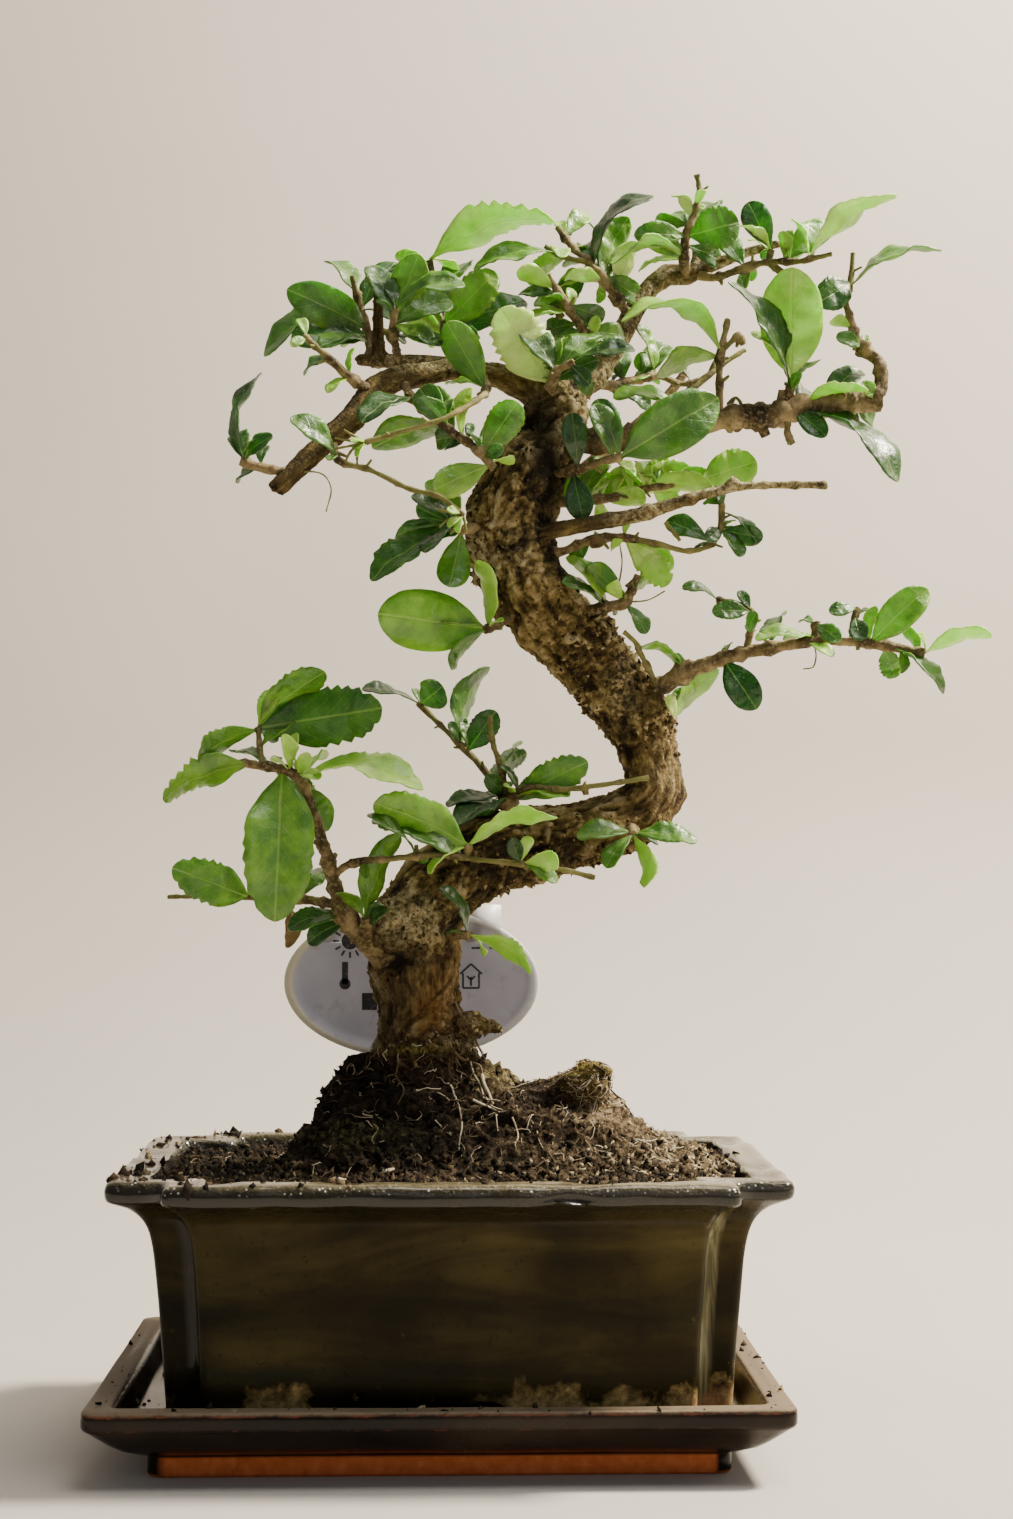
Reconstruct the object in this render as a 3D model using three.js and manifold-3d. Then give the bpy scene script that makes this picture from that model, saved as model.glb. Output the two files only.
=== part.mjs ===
// A fukien tea bonsai in its glazed oblong pot, on the pot's drip tray.
// Millimetres, +Z up, +X to the right and +Y away from the front. The origin is on the tray's underside,
// below the middle of the pot.
import * as THREE from "three";
import { mergeVertices } from "three/addons/utils/BufferGeometryUtils.js";
import Module from "manifold-3d";

const wasm = await Module();
wasm.setup();

// The gap kept between pieces that sit in or on each other.
const GAP = 0.3;

// Pot: half widths and half depths of its two crossed oblongs, at the foot and at the rim.
const POT = {
  bottom: 13.8,
  top: 85,
  foot: { sideWidth: 83, panelWidth: 71.5, panelDepth: 62, sideDepth: 52 },
  rim: { sideWidth: 100, panelWidth: 82.6, panelDepth: 77, sideDepth: 64 },
  wall: 6,
  rimLand: 11,
  rimRound: 1.6,
  corner: 2.4,
  floorUnder: 24,
  floorTop: 29,
  archHalfWidth: 22,
  sideArchHalfWidth: 16,
  archHeight: 7.6,
  drainRadius: 6,
  drainAcross: 38,
};

// Drip tray: half widths and half depths, set a little to the left of the pot.
const TRAY = {
  middleX: -3,
  footTop: 7,
  lipBottom: 17,
  rimTop: 22,
  floorTop: 13.5,
  foot: [84.3, 61],
  rim: [101, 78],
  land: 7.5,
  corner: 5,
};

// Soil: its level at the rim, and the mound round the root crown as height along X.
const SOIL = {
  level: 80.5,
  mound: [
    [-58, 80.5],
    [-49, 82],
    [-45, 91],
    [-41, 99],
    [-37, 107],
    [-32, 115],
    [-27, 119],
    [2, 120],
    [11, 115],
    [24, 108],
    [34, 106],
    [46, 104],
    [54, 99],
    [60, 93],
    [72, 89],
    [86, 82],
    [95, 80.5],
  ],
  moundHalfDepth: 40,
  moundY: -2,
  columns: 18,
  rows: 8,
};

// Plant label: an oval plate on a stake.
const LABEL = {
  middle: [-12.3, 40, 137],
  halfWidth: 42,
  halfHeight: 25,
  thick: 1.2,
  tabHalfWidth: 6,
  tabHeight: 5,
  tabAcross: 24,
  stakeWidth: 7,
  stakeBottom: 58,
};

// Leaves and stems are placed by the front view: u across and v down in view points, and the depth y in
// millimetres. The viewer stands at `eye`, turned and tilted by small angles.
const VIEW = {
  eye: new THREE.Vector3(-5.7, -778, 171),
  turn: THREE.MathUtils.degToRad(1.73),
  tilt: THREE.MathUtils.degToRad(2.77),
  focal: 2470,
  middleU: 506.5,
  middleV: 759.5,
};
const ahead = new THREE.Vector3(
  Math.sin(VIEW.turn) * Math.cos(VIEW.tilt),
  Math.cos(VIEW.turn) * Math.cos(VIEW.tilt),
  Math.sin(VIEW.tilt),
);
const across = new THREE.Vector3(Math.cos(VIEW.turn), -Math.sin(VIEW.turn), 0);
const upward = new THREE.Vector3().crossVectors(across, ahead);

// Leaf blade: thickness, and how long a blade is for its width.
const LEAF = { halfThick: 0.33, fullness: 0.46, cup: 0.16, tinyLength: 8, smallLength: 17, largeLength: 27 };
const STEM_MIN_RADIUS = 0.75;
// Sides of a stem by its thickest radius.
const STEM_SIDES = [
  [12, 12],
  [9, 8],
  [3, 6],
  [1.8, 4],
  [0, 3],
];

// The trunk from below the soil to the fork: u, v, y and the width seen.
const TRUNK = [
  [428, 1150, 0, 116],
  [426, 1090, 0, 104],
  [425, 1060, 0, 95],
  [421, 1030, 0, 88],
  [418, 1000, 0, 84],
  [413, 975, 0, 86],
  [412, 945, 0, 92],
  [420, 915, 0, 84],
  [440, 888, 1, 82],
  [470, 865, 2, 80],
  [505, 850, 3, 78],
  [560, 839, 5, 68],
  [608, 828, 7, 64],
  [640, 815, 8, 62],
  [656, 790, 8, 60],
  [651, 765, 7, 59],
  [642, 735, 5, 62],
  [629, 709, 3, 70],
  [606, 680, 1, 66],
  [578, 645, -2, 72],
  [552, 620, -4, 76],
  [529, 590, -5, 84],
  [514, 553, -5, 88],
  [511, 514, -4, 88],
  [522, 482, -2, 84],
  [540, 455, 0, 72],
  [552, 430, 1, 60],
  [556, 405, 2, 58],
  [557, 386, 2, 50],
];

// The thick limbs, roots and sawn stubs that are one piece of wood with the trunk.
const LIMBS = {
  rightLimb: [
    [556, 400, 2, 50],
    [575, 383, 4, 42],
    [593, 375, 6, 33],
    [609, 354, 9, 27],
    [625, 328, 12, 24],
    [635, 307, 15, 24],
    [651, 286, 17, 22],
    [667, 275, 18, 25],
    [688, 274, 17, 23],
    [714, 265, 15, 15],
    [745, 253, 13, 12],
    [780, 243, 10, 10],
  ],
  rightStub: [
    [696, 272, 16, 14],
    [697, 258, 17, 13],
    [697, 245, 18, 11],
  ],
  leftLimb: [
    [556, 400, 2, 46],
    [530, 388, 2, 34],
    [505, 378, 3, 28],
    [478, 372, 4, 26],
    [448, 368, 6, 25],
    [426, 364, 8, 22],
    [395, 361, 11, 17],
    [357, 360, 14, 14],
  ],
  cutBranch: [
    [452, 370, 5, 22],
    [422, 375, 1, 25],
    [400, 378, -4, 28],
    [376, 388, -10, 29],
    [352, 418, -17, 27],
    [314, 453, -24, 24],
    [275, 490, -30, 21],
  ],
  cutBranchStub: [
    [379, 366, 12, 17],
    [378, 330, 9, 14],
    [378, 290, 7, 12],
  ],
  backLimb: [
    [545, 480, 2, 30],
    [585, 475, 12, 25],
    [610, 450, 20, 22],
    [640, 425, 27, 16],
    [665, 400, 33, 12],
    [687, 370, 38, 10],
  ],
  longTwig: [
    [530, 537, -10, 24],
    [548, 532, -16, 20],
    [580, 525, -20, 18],
    [640, 515, -24, 16],
    [680, 502, -26, 14],
    [700, 495, -27, 12],
    [737, 487, -28, 11],
    [760, 485, -29, 9],
    [827, 485, -31, 9],
  ],
  rootStub: [
    [440, 1036, -4, 24],
    [470, 1023, -8, 15],
    [500, 1028, -9, 9],
  ],
};
const ROOTS = {
  rootRight: [
    [450, 1105, 0, 66],
    [520, 1108, -3, 46],
    [566, 1096, -5, 40],
    [590, 1082, -6, 38],
    [594, 1066, -6, 32],
  ],
  rootLeft: [
    [410, 1090, 0, 62],
    [350, 1125, 4, 40],
    [312, 1170, 6, 26],
  ],
  rootFront: [
    [430, 1090, -4, 52],
    [452, 1135, -20, 30],
    [470, 1185, -30, 18],
  ],
};

// Leafy branches, sprays and stalks. `seat` names the wood that carries the first stem.
// A stem is a list of u, v, y and the width seen. A leaf is its base u, v and its tip u, v, the width seen,
// how far the tip lies behind its base (y), which face is seen (1 upper, -1 under), the arch of the blade
// as a share of its length, and how deep its teeth are (0 to 1).
const BRANCHES = {
  branch_left_low: {
    seat: "trunk",
    stems: [
      [
        [398, 955, -2, 32],
        [372, 945, -9, 26],
        [355, 928, -13, 20],
        [340, 905, -16, 16],
        [333, 880, -19, 14],
        [325, 850, -22, 12],
        [315, 820, -24, 11],
        [305, 790, -26, 9],
        [298, 775, -27, 8],
      ],
      [
        [300, 778, -27, 8],
        [285, 770, -27, 8],
        [255, 765, -25, 7],
        [235, 762, -23, 6],
        [190, 763, -18, 4],
      ],
      [
        [262, 766, -25, 6],
        [260, 748, -23, 5],
        [258, 728, -20, 5],
      ],
    ],
    leaves: [
      [260, 724, 325, 673, 28, -6, -1, 0.12, 0.4],
      [262, 726, 382, 722, 52, -12, -1, 0.12, 0.8],
      [257, 730, 198, 760, 26, -10, -1, 0.12, 0.5],
      [250, 770, 165, 800, 24, -8, -1, 0.12, 1],
      [272, 762, 232, 752, 10, 12, 1, 0.1, 0.3],
      [288, 772, 282, 735, 14, -8, 1, 0.12, 0],
      [293, 774, 297, 733, 12, 2, 1, 0.1, 0],
      [298, 774, 309, 753, 14, -6, 1, 0.1, 0],
      [299, 775, 320, 779, 10, -8, 1, 0.1, 0],
      [260, 748, 297, 722, 12, 8, 1, 0.1, 0],
      [283, 772, 275, 922, 70, -9, 1, 0.1, 0.15],
      [303, 786, 328, 831, 34, 12, -1, 0.1, 0],
      [301, 776, 423, 790, 22, -9, 1, 0.14, 0.5],
      [345, 915, 288, 929, 20, -4, 1, 0.1, 0.3],
      [346, 922, 308, 943, 19, 2, 1, 0.1, 0],
    ],
  },
  twig_left_side: {
    seat: "branch_left_low",
    stems: [
      [
        [340, 904, -15, 9],
        [320, 902, -9, 9],
        [300, 899, -3, 8],
        [250, 897, 6, 6],
        [200, 896, 13, 5],
        [168, 897, 17, 4],
      ],
    ],
    leaves: [
      [256, 896, 176, 880, 40, -10, 1, 0.1, 0.5],
      [282, 898, 287, 948, 14, -2, 1, 0.16, 0],
      [300, 899, 330, 868, 16, 14, 1, 0.1, 0.3],
    ],
  },
  twig_runner: {
    seat: "branch_left_low",
    stems: [
      [
        [334, 876, -19, 8],
        [346, 866, -23, 8],
        [360, 862, -25, 7],
        [400, 858, -27, 6],
        [440, 855, -28, 6],
        [480, 860, -28, 5],
        [520, 864, -28, 5],
        [560, 869, -27, 5],
        [595, 878, -26, 5],
      ],
      [
        [467, 858, -28, 6],
        [468, 845, -28, 6],
      ],
    ],
    leaves: [
      [467, 846, 374, 803, 46, -8, -1, 0.12, 0.4],
      [468, 846, 557, 818, 16, -12, -1, 0.1, 0.2],
      [418, 856, 367, 816, 6, -10, 1, 0.1, 0],
      [362, 862, 366, 879, 12, -5, 1, 0.1, 0],
      [521, 865, 558, 860, 22, -8, -1, 0.1, 0.3],
      [520, 864, 512, 838, 16, -6, 1, 0.1, 0],
      [522, 866, 557, 883, 14, -4, 1, 0.1, 0.3],
    ],
  },
  spray_spur: {
    seat: "branch_left_low",
    stems: [
      [
        [371, 942, -10, 9],
        [367, 930, -18, 9],
        [365, 918, -20, 7],
      ],
    ],
    leaves: [
      [365, 919, 338, 893, 13, -8, -1, 0.1, 0.2],
      [366, 917, 400, 834, 24, 6, -1, 0.08, 0],
      [367, 928, 388, 909, 10, -5, 1, 0.1, 0],
    ],
  },
  spray_burl: {
    seat: "trunk",
    stems: [
      [
        [440, 936, -6, 9],
        [458, 935, -13, 8],
        [470, 935, -17, 6],
      ],
    ],
    leaves: [
      [466, 934, 440, 888, 12, -6, 1, 0.16, 0],
      [470, 935, 531, 973, 18, -4, -1, 0.1, 0.6],
    ],
  },
  spray_knot: {
    seat: "trunk",
    stems: [
      [
        [512, 826, 1, 16],
        [508, 802, 0, 14],
        [500, 790, 4, 9],
        [480, 765, 9, 6],
        [440, 725, 16, 5],
        [418, 703, 20, 5],
      ],
      [
        [506, 796, 0, 7],
        [500, 765, -4, 6],
        [492, 740, -7, 5],
        [490, 715, -9, 5],
      ],
      [
        [508, 800, -1, 9],
        [530, 788, -9, 8],
        [560, 790, -14, 6],
        [600, 785, -15, 5],
        [648, 778, -8, 5],
      ],
    ],
    leaves: [
      [419, 704, 443, 686, 34, -6, 1, 0.1, 0],
      [418, 703, 362, 690, 8, -6, 1, 0.08, 0],
      [462, 746, 490, 667, 20, 6, -1, 0.14, 0],
      [468, 752, 496, 711, 30, -8, 1, 0.1, 0.3],
      [461, 744, 449, 722, 12, -6, 1, 0.1, 0],
      [501, 776, 527, 754, 16, 12, -1, 0.1, 0.6],
      [519, 792, 588, 762, 40, -8, 1, 0.12, 0.6],
      [503, 796, 486, 775, 18, -9, 1, 0.1, 0],
      [505, 798, 447, 807, 10, -12, 1, 0.08, 0.2],
      [507, 803, 458, 826, 14, -20, 1, 0.08, 0],
      [512, 798, 570, 796, 12, -12, 1, 0.1, 0],
      [501, 790, 520, 745, 16, 18, 1, 0.1, 0.3],
    ],
  },
  spray_bend: {
    seat: "trunk",
    stems: [
      [
        [628, 822, 2, 10],
        [633, 831, -6, 9],
        [633, 835, -10, 7],
      ],
    ],
    leaves: [
      [632, 833, 577, 838, 18, -6, 1, 0.1, 0],
      [633, 835, 606, 868, 17, -6, 1, 0.1, 0],
      [635, 834, 697, 842, 20, -2, 1, 0.1, 0.4],
      [633, 836, 646, 886, 20, -10, -1, 0.14, 0.2],
    ],
  },
  spray_bend_low: {
    seat: "trunk",
    stems: [
      [
        [652, 735, 5, 9],
        [668, 724, 1, 8],
        [675, 717, -1, 6],
      ],
    ],
    leaves: [
      [674, 718, 686, 688, 16, 6, -1, 0.1, 0],
      [674, 718, 719, 670, 24, 8, -1, 0.1, 0],
      [673, 718, 667, 695, 10, -6, 1, 0.1, 0],
    ],
  },
  branch_right_low: {
    seat: "trunk",
    stems: [
      [
        [632, 706, 3, 26],
        [655, 690, 0, 22],
        [685, 672, -4, 16],
        [700, 667, -6, 14],
        [740, 654, -10, 12],
        [790, 645, -14, 10],
        [815, 641, -15, 9],
        [850, 642, -17, 9],
        [880, 645, -18, 8],
        [925, 653, -20, 6],
      ],
      [
        [657, 688, -2, 7],
        [648, 668, -8, 6],
        [634, 641, -13, 5],
        [624, 632, -14, 5],
      ],
      [
        [746, 652, -10, 7],
        [749, 636, -10, 6],
        [754, 614, -9, 5],
        [736, 603, -7, 5],
        [717, 600, -5, 5],
      ],
      [
        [816, 641, -15, 7],
        [815, 623, -14, 7],
      ],
      [
        [852, 642, -17, 6],
        [852, 625, -15, 5],
        [858, 609, -13, 5],
      ],
    ],
    leaves: [
      [684, 673, 638, 648, 10, -7, -1, 0.16, 0],
      [750, 634, 757, 612, 12, -8, 1, 0.1, 0],
      [752, 612, 712, 612, 20, -6, 1, 0.12, 0.3],
      [717, 600, 682, 588, 9, -4, 1, 0.16, 0],
      [816, 638, 756, 640, 9, -8, 1, 0.08, 0],
      [858, 608, 829, 612, 14, -4, 1, 0.1, 0],
      [815, 624, 840, 641, 18, -9, 1, 0.1, 0],
      [854, 616, 861, 641, 20, -7, 1, 0.1, 0],
      [804, 643, 833, 657, 9, -6, 1, 0.1, 0],
      [870, 644, 928, 589, 36, -6, 1, 0.1, 0],
      [925, 652, 992, 635, 17, -7, -1, 0.1, 0],
      [922, 652, 903, 629, 12, 6, -1, 0.1, 0],
      [884, 647, 895, 678, 26, 4, -1, 0.08, 0.7],
      [898, 649, 904, 672, 12, -6, -1, 0.1, 0.3],
      [892, 648, 943, 694, 7, -9, 1, 0.1, 0],
      [724, 659, 757, 709, 34, -7, 1, 0.1, 0],
      [768, 649, 782, 616, 20, 16, 1, 0.1, 0.3],
    ],
  },
  branch_right_mid: {
    seat: "trunk",
    stems: [
      [
        [566, 441, -2, 26],
        [610, 441, -8, 24],
        [660, 432, -10, 23],
        [715, 420, -10, 23],
        [740, 417, -10, 23],
        [770, 417, -9, 24],
        [790, 410, -8, 22],
        [820, 405, -7, 20],
        [850, 402, -6, 20],
        [879, 400, -5, 19],
      ],
      [
        [870, 400, -5, 14],
        [881, 385, -4, 14],
        [878, 362, -3, 13],
        [865, 350, -2, 12],
        [855, 335, -1, 9],
        [850, 318, 0, 7],
        [846, 302, 0, 6],
        [850, 285, 1, 5],
        [853, 253, 2, 5],
      ],
      [
        [788, 416, -9, 8],
        [788, 435, -10, 7],
        [793, 444, -10, 6],
      ],
      [
        [793, 410, -8, 7],
        [790, 395, -10, 6],
        [791, 378, -11, 5],
      ],
      [
        [720, 418, -10, 8],
        [720, 360, -6, 7],
        [728, 320, -2, 6],
      ],
      [
        [667, 430, -8, 7],
        [674, 405, -1, 6],
        [692, 390, 3, 6],
        [722, 365, 7, 5],
        [745, 350, 10, 5],
      ],
    ],
    leaves: [
      [795, 412, 826, 437, 22, -8, 1, 0.1, 0],
      [799, 411, 898, 482, 14, -10, 1, 0.14, 0],
      [800, 410, 868, 390, 14, -10, -1, 0.1, 0.2],
      [790, 388, 819, 361, 8, 6, 1, 0.1, 0],
      [792, 394, 802, 373, 9, -6, 1, 0.1, 0],
      [791, 379, 792, 267, 64, -5, -1, 0.08, 0],
      [789, 390, 728, 282, 18, -9, 1, 0.1, 0],
      [822, 405, 862, 376, 22, 9, 1, 0.1, 0],
      [876, 400, 861, 383, 12, -7, 1, 0.1, 0],
      [848, 292, 822, 303, 30, -8, 1, 0.12, 0.2],
      [850, 288, 942, 251, 4, -4, 1, 0.12, 0],
      [852, 330, 832, 320, 13, -6, -1, 0.1, 0],
      [864, 348, 836, 337, 14, -6, 1, 0.1, 0],
      [721, 354, 622, 322, 9, -14, -1, 0.26, 0],
      [720, 356, 657, 375, 22, -8, -1, 0.1, 0],
      [676, 402, 613, 398, 14, -6, 1, 0.1, 0.2],
      [850, 402, 872, 425, 18, 14, 1, 0.1, 0],
    ],
  },
  spray_left_mid: {
    seat: "trunk",
    stems: [
      [
        [492, 527, -6, 10],
        [472, 528, -15, 9],
        [460, 530, -19, 7],
      ],
    ],
    leaves: [
      [462, 528, 425, 483, 24, 10, -1, 0.1, 0],
      [461, 529, 411, 497, 14, -8, 1, 0.1, 0],
      [462, 530, 395, 541, 25, 2, -1, 0.1, 0],
      [463, 531, 371, 581, 28, -8, 1, 0.1, 0.4],
      [462, 531, 450, 587, 34, -4, -1, 0.1, 0],
      [461, 530, 425, 553, 9, -14, 1, 0.1, 0],
    ],
  },
  spray_stub_left: {
    seat: "trunk",
    stems: [
      [
        [516, 612, -8, 11],
        [500, 624, -16, 8],
        [485, 630, -19, 7],
      ],
    ],
    leaves: [
      [488, 629, 477, 560, 18, -4, -1, 0.1, 0],
      [487, 629, 379, 632, 52, -6, -1, 0.1, 0],
      [485, 631, 451, 669, 14, -4, -1, 0.1, 0],
    ],
  },
  spray_under_left: {
    seat: "trunk",
    stems: [
      [
        [402, 380, -4, 9],
        [412, 398, -13, 8],
        [425, 412, -19, 7],
        [450, 430, -24, 7],
        [475, 448, -27, 7],
        [494, 468, -28, 6],
      ],
    ],
    leaves: [
      [412, 398, 362, 423, 20, -18, 1, 0.1, 0],
      [448, 428, 372, 448, 30, 12, -1, 0.1, 0],
      [446, 427, 420, 388, 30, 5, 1, 0.1, 0],
      [462, 440, 470, 387, 14, -6, -1, 0.08, 0],
      [482, 454, 518, 402, 38, -4, -1, 0.1, 0.3],
      [490, 464, 434, 489, 34, -4, -1, 0.1, 0.2],
      [466, 442, 446, 447, 12, 8, 1, 0.1, 0],
      [484, 458, 503, 446, 14, -7, 1, 0.1, 0],
    ],
  },
  flower_stalk_left: {
    seat: "trunk",
    stems: [
      [
        [484, 372, 3, 8],
        [486, 388, -7, 7],
        [480, 398, -26, 6],
        [440, 420, -36, 5],
        [400, 432, -36, 5],
        [366, 442, -36, 5],
      ],
    ],
    leaves: [
      [485, 388, 447, 324, 34, -7, -1, 0.12, 0],
      [366, 442, 351, 442, 4, -4, 1, 0.1, 0],
      [366, 442, 352, 449, 4, 2, 1, 0.1, 0],
      [367, 442, 357, 457, 5, -3, 1, 0.1, 0],
    ],
  },
  spray_cut_branch: {
    seat: "trunk",
    stems: [
      [
        [333, 438, -21, 8],
        [338, 460, -28, 7],
        [370, 470, -31, 5],
        [410, 489, -33, 5],
        [440, 497, -35, 5],
        [463, 516, -36, 5],
      ],
    ],
    leaves: [
      [338, 459, 290, 418, 20, -6, 1, 0.14, 0],
      [462, 515, 447, 510, 6, -4, 1, 0.1, 0],
      [462, 516, 448, 527, 7, -2, 1, 0.1, 0],
      [463, 516, 459, 533, 6, -4, 1, 0.1, 0],
    ],
  },
  spray_tip_left: {
    seat: "trunk",
    stems: [
      [
        [294, 473, -27, 9],
        [268, 469, -29, 8],
        [240, 461, -30, 7],
      ],
    ],
    leaves: [
      [244, 462, 262, 373, 10, 5, 1, 0.14, 0],
      [246, 462, 273, 436, 12, -8, 1, 0.1, 0],
      [262, 467, 240, 480, 10, 12, 1, 0.1, 0],
    ],
  },
  spray_top_left: {
    seat: "trunk",
    stems: [
      [
        [366, 361, 13, 8],
        [370, 345, 18, 7],
        [367, 330, 20, 7],
        [358, 300, 20, 6],
        [352, 276, 18, 5],
      ],
    ],
    leaves: [
      [366, 328, 289, 289, 36, -12, 1, 0.12, 0],
      [365, 325, 266, 358, 17, 6, 1, 0.22, 0],
      [369, 336, 291, 339, 28, -10, 1, 0.1, 0],
      [371, 342, 320, 348, 9, -16, 1, 0.1, 0],
      [361, 310, 398, 263, 22, 10, 1, 0.1, 0],
      [356, 294, 330, 262, 20, 16, 1, 0.1, 0.3],
    ],
  },
  spray_top_left_low: {
    seat: "trunk",
    stems: [
      [
        [376, 390, -10, 11],
        [356, 382, -18, 9],
        [325, 355, -24, 6],
        [303, 335, -26, 5],
      ],
    ],
    leaves: [
      [306, 338, 291, 346, 10, -5, 1, 0.1, 0],
      [352, 378, 327, 393, 8, -5, 1, 0.1, 0],
      [330, 360, 306, 372, 10, 12, 1, 0.1, 0],
    ],
  },
  spray_top_left_right: {
    seat: "trunk",
    stems: [
      [
        [400, 362, 10, 8],
        [395, 342, 1, 7],
        [393, 324, -2, 6],
        [396, 308, -3, 5],
      ],
    ],
    leaves: [
      [392, 322, 419, 254, 38, -2, -1, 0.12, 0.2],
      [396, 310, 465, 286, 16, -8, 1, 0.18, 0],
      [392, 326, 433, 344, 18, -8, 1, 0.1, 0],
      [394, 338, 441, 346, 12, -12, 1, 0.1, 0],
    ],
  },
  spray_top_middle: {
    seat: "trunk",
    stems: [
      [
        [455, 369, 5, 8],
        [450, 345, 10, 7],
        [443, 325, 13, 7],
        [436, 295, 15, 6],
        [430, 260, 14, 5],
      ],
    ],
    leaves: [
      [430, 260, 553, 220, 38, -14, -1, 0.14, 1],
      [431, 264, 395, 256, 14, -2, -1, 0.1, 0],
      [446, 332, 408, 312, 24, 4, 1, 0.1, 0.2],
      [443, 325, 496, 276, 34, -5, 1, 0.12, 0.2],
      [447, 334, 527, 305, 26, 5, 1, 0.1, 0],
      [441, 312, 470, 262, 22, 15, 1, 0.1, 0.3],
      [449, 342, 478, 335, 14, -9, 1, 0.1, 0],
    ],
  },
  spray_fork: {
    seat: "trunk",
    stems: [
      [
        [556, 396, -2, 11],
        [552, 384, -14, 9],
        [558, 370, -19, 7],
        [574, 362, -21, 6],
      ],
    ],
    leaves: [
      [551, 385, 505, 311, 50, -8, -1, 0.1, 0.5],
      [572, 362, 635, 351, 12, -6, 1, 0.1, 0],
      [570, 364, 590, 385, 18, -5, 1, 0.1, 0],
      [556, 374, 562, 338, 14, 6, 1, 0.1, 0],
    ],
  },
  spray_upper_middle: {
    seat: "trunk",
    stems: [
      [
        [612, 350, 9, 10],
        [592, 341, 0, 8],
        [575, 318, -6, 7],
        [560, 295, -8, 6],
        [548, 275, -8, 5],
      ],
    ],
    leaves: [
      [556, 290, 518, 270, 20, -6, -1, 0.1, 0],
      [562, 298, 519, 294, 12, 6, 1, 0.1, 0],
      [572, 312, 521, 323, 9, -4, 1, 0.1, 0],
      [594, 342, 550, 358, 12, -8, -1, 0.1, 0],
      [590, 339, 597, 316, 12, -5, 1, 0.1, 0],
      [580, 324, 545, 334, 20, 12, 1, 0.1, 0.2],
    ],
  },
  spray_upper_right: {
    seat: "trunk",
    stems: [
      [
        [630, 316, 13, 10],
        [618, 300, 7, 9],
        [603, 280, 5, 8],
        [588, 262, 7, 7],
        [572, 247, 9, 6],
        [558, 228, 12, 6],
      ],
      [
        [588, 262, 7, 6],
        [562, 256, 3, 5],
        [545, 246, 1, 5],
      ],
    ],
    leaves: [
      [594, 268, 654, 196, 14, -6, 1, 0.2, 0],
      [604, 281, 629, 217, 28, 6, -1, 0.1, 0.2],
      [617, 298, 637, 242, 20, 4, -1, 0.1, 0],
      [614, 294, 612, 261, 12, 10, 1, 0.1, 0],
      [606, 284, 566, 277, 16, -9, -1, 0.1, 0],
      [598, 274, 558, 285, 14, 6, 1, 0.1, 0],
      [556, 254, 474, 271, 14, -6, 1, 0.1, 0],
      [601, 278, 592, 226, 20, 18, 1, 0.1, 0.3],
    ],
  },
  spray_top: {
    seat: "trunk",
    stems: [
      [
        [686, 276, 16, 10],
        [684, 258, 8, 8],
        [686, 238, 5, 7],
        [694, 215, 5, 6],
        [699, 190, 7, 5],
        [697, 175, 7, 5],
      ],
    ],
    leaves: [
      [687, 236, 634, 236, 26, -6, 1, 0.12, 0.2],
      [684, 256, 660, 238, 20, -6, 1, 0.1, 0],
      [684, 260, 613, 264, 9, -20, -1, 0.14, 0],
      [693, 218, 682, 195, 13, -5, -1, 0.1, 0],
      [696, 208, 704, 190, 10, -6, -1, 0.1, 0],
      [687, 236, 739, 222, 46, -6, 1, 0.14, 0.3],
      [690, 228, 672, 214, 14, 9, 1, 0.1, 0],
      [688, 232, 716, 204, 22, 16, 1, 0.1, 0.2],
    ],
  },
  spray_top_right: {
    seat: "trunk",
    stems: [
      [
        [698, 275, 16, 10],
        [716, 277, 8, 8],
        [745, 268, 1, 7],
        [768, 262, -2, 6],
        [800, 261, -5, 5],
        [832, 254, -8, 5],
      ],
      [
        [768, 262, -2, 7],
        [795, 282, 3, 7],
        [812, 290, 5, 6],
      ],
      [
        [768, 262, -2, 6],
        [772, 250, -2, 5],
      ],
    ],
    leaves: [
      [772, 250, 748, 202, 30, -4, 1, 0.12, 0],
      [771, 252, 741, 226, 10, -8, -1, 0.1, 0],
      [783, 261, 829, 224, 30, 6, 1, 0.1, 0],
      [809, 259, 897, 196, 20, -7, -1, 0.1, 0.2],
      [752, 267, 742, 290, 14, 10, 1, 0.1, 0],
    ],
  },
  spray_back_right: {
    seat: "trunk",
    stems: [
      [
        [586, 382, 6, 9],
        [606, 386, 13, 8],
        [640, 379, 19, 7],
        [656, 375, 21, 6],
        [682, 384, 23, 6],
        [706, 377, 24, 5],
        [716, 361, 25, 5],
      ],
    ],
    leaves: [
      [655, 376, 637, 325, 12, -2, 1, 0.1, 0],
      [640, 378, 668, 345, 26, 12, 1, 0.1, 0.2],
      [622, 381, 606, 342, 24, 14, 1, 0.1, 0.2],
      [690, 382, 684, 416, 22, 6, 1, 0.1, 0],
    ],
  },
  spray_front: {
    seat: "trunk",
    stems: [
      [
        [556, 474, -6, 10],
        [576, 470, -17, 8],
        [600, 462, -23, 7],
        [622, 457, -26, 6],
      ],
    ],
    leaves: [
      [578, 469, 572, 413, 26, -3, 1, 0.1, 0],
      [612, 459, 594, 404, 24, -2, 1, 0.12, 0],
      [621, 457, 718, 398, 56, -3, 1, 0.1, 0],
      [572, 471, 583, 520, 28, -2, 1, 0.08, 0],
    ],
  },
  spray_behind_twig: {
    seat: "trunk",
    stems: [
      [
        [548, 502, -4, 10],
        [575, 502, -6, 8],
        [610, 498, -7, 7],
        [650, 488, -7, 6],
        [700, 480, -6, 5],
      ],
    ],
    leaves: [
      [590, 500, 610, 480, 10, 5, -1, 0.1, 0],
      [598, 500, 646, 498, 22, -6, -1, 0.1, 0.2],
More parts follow.
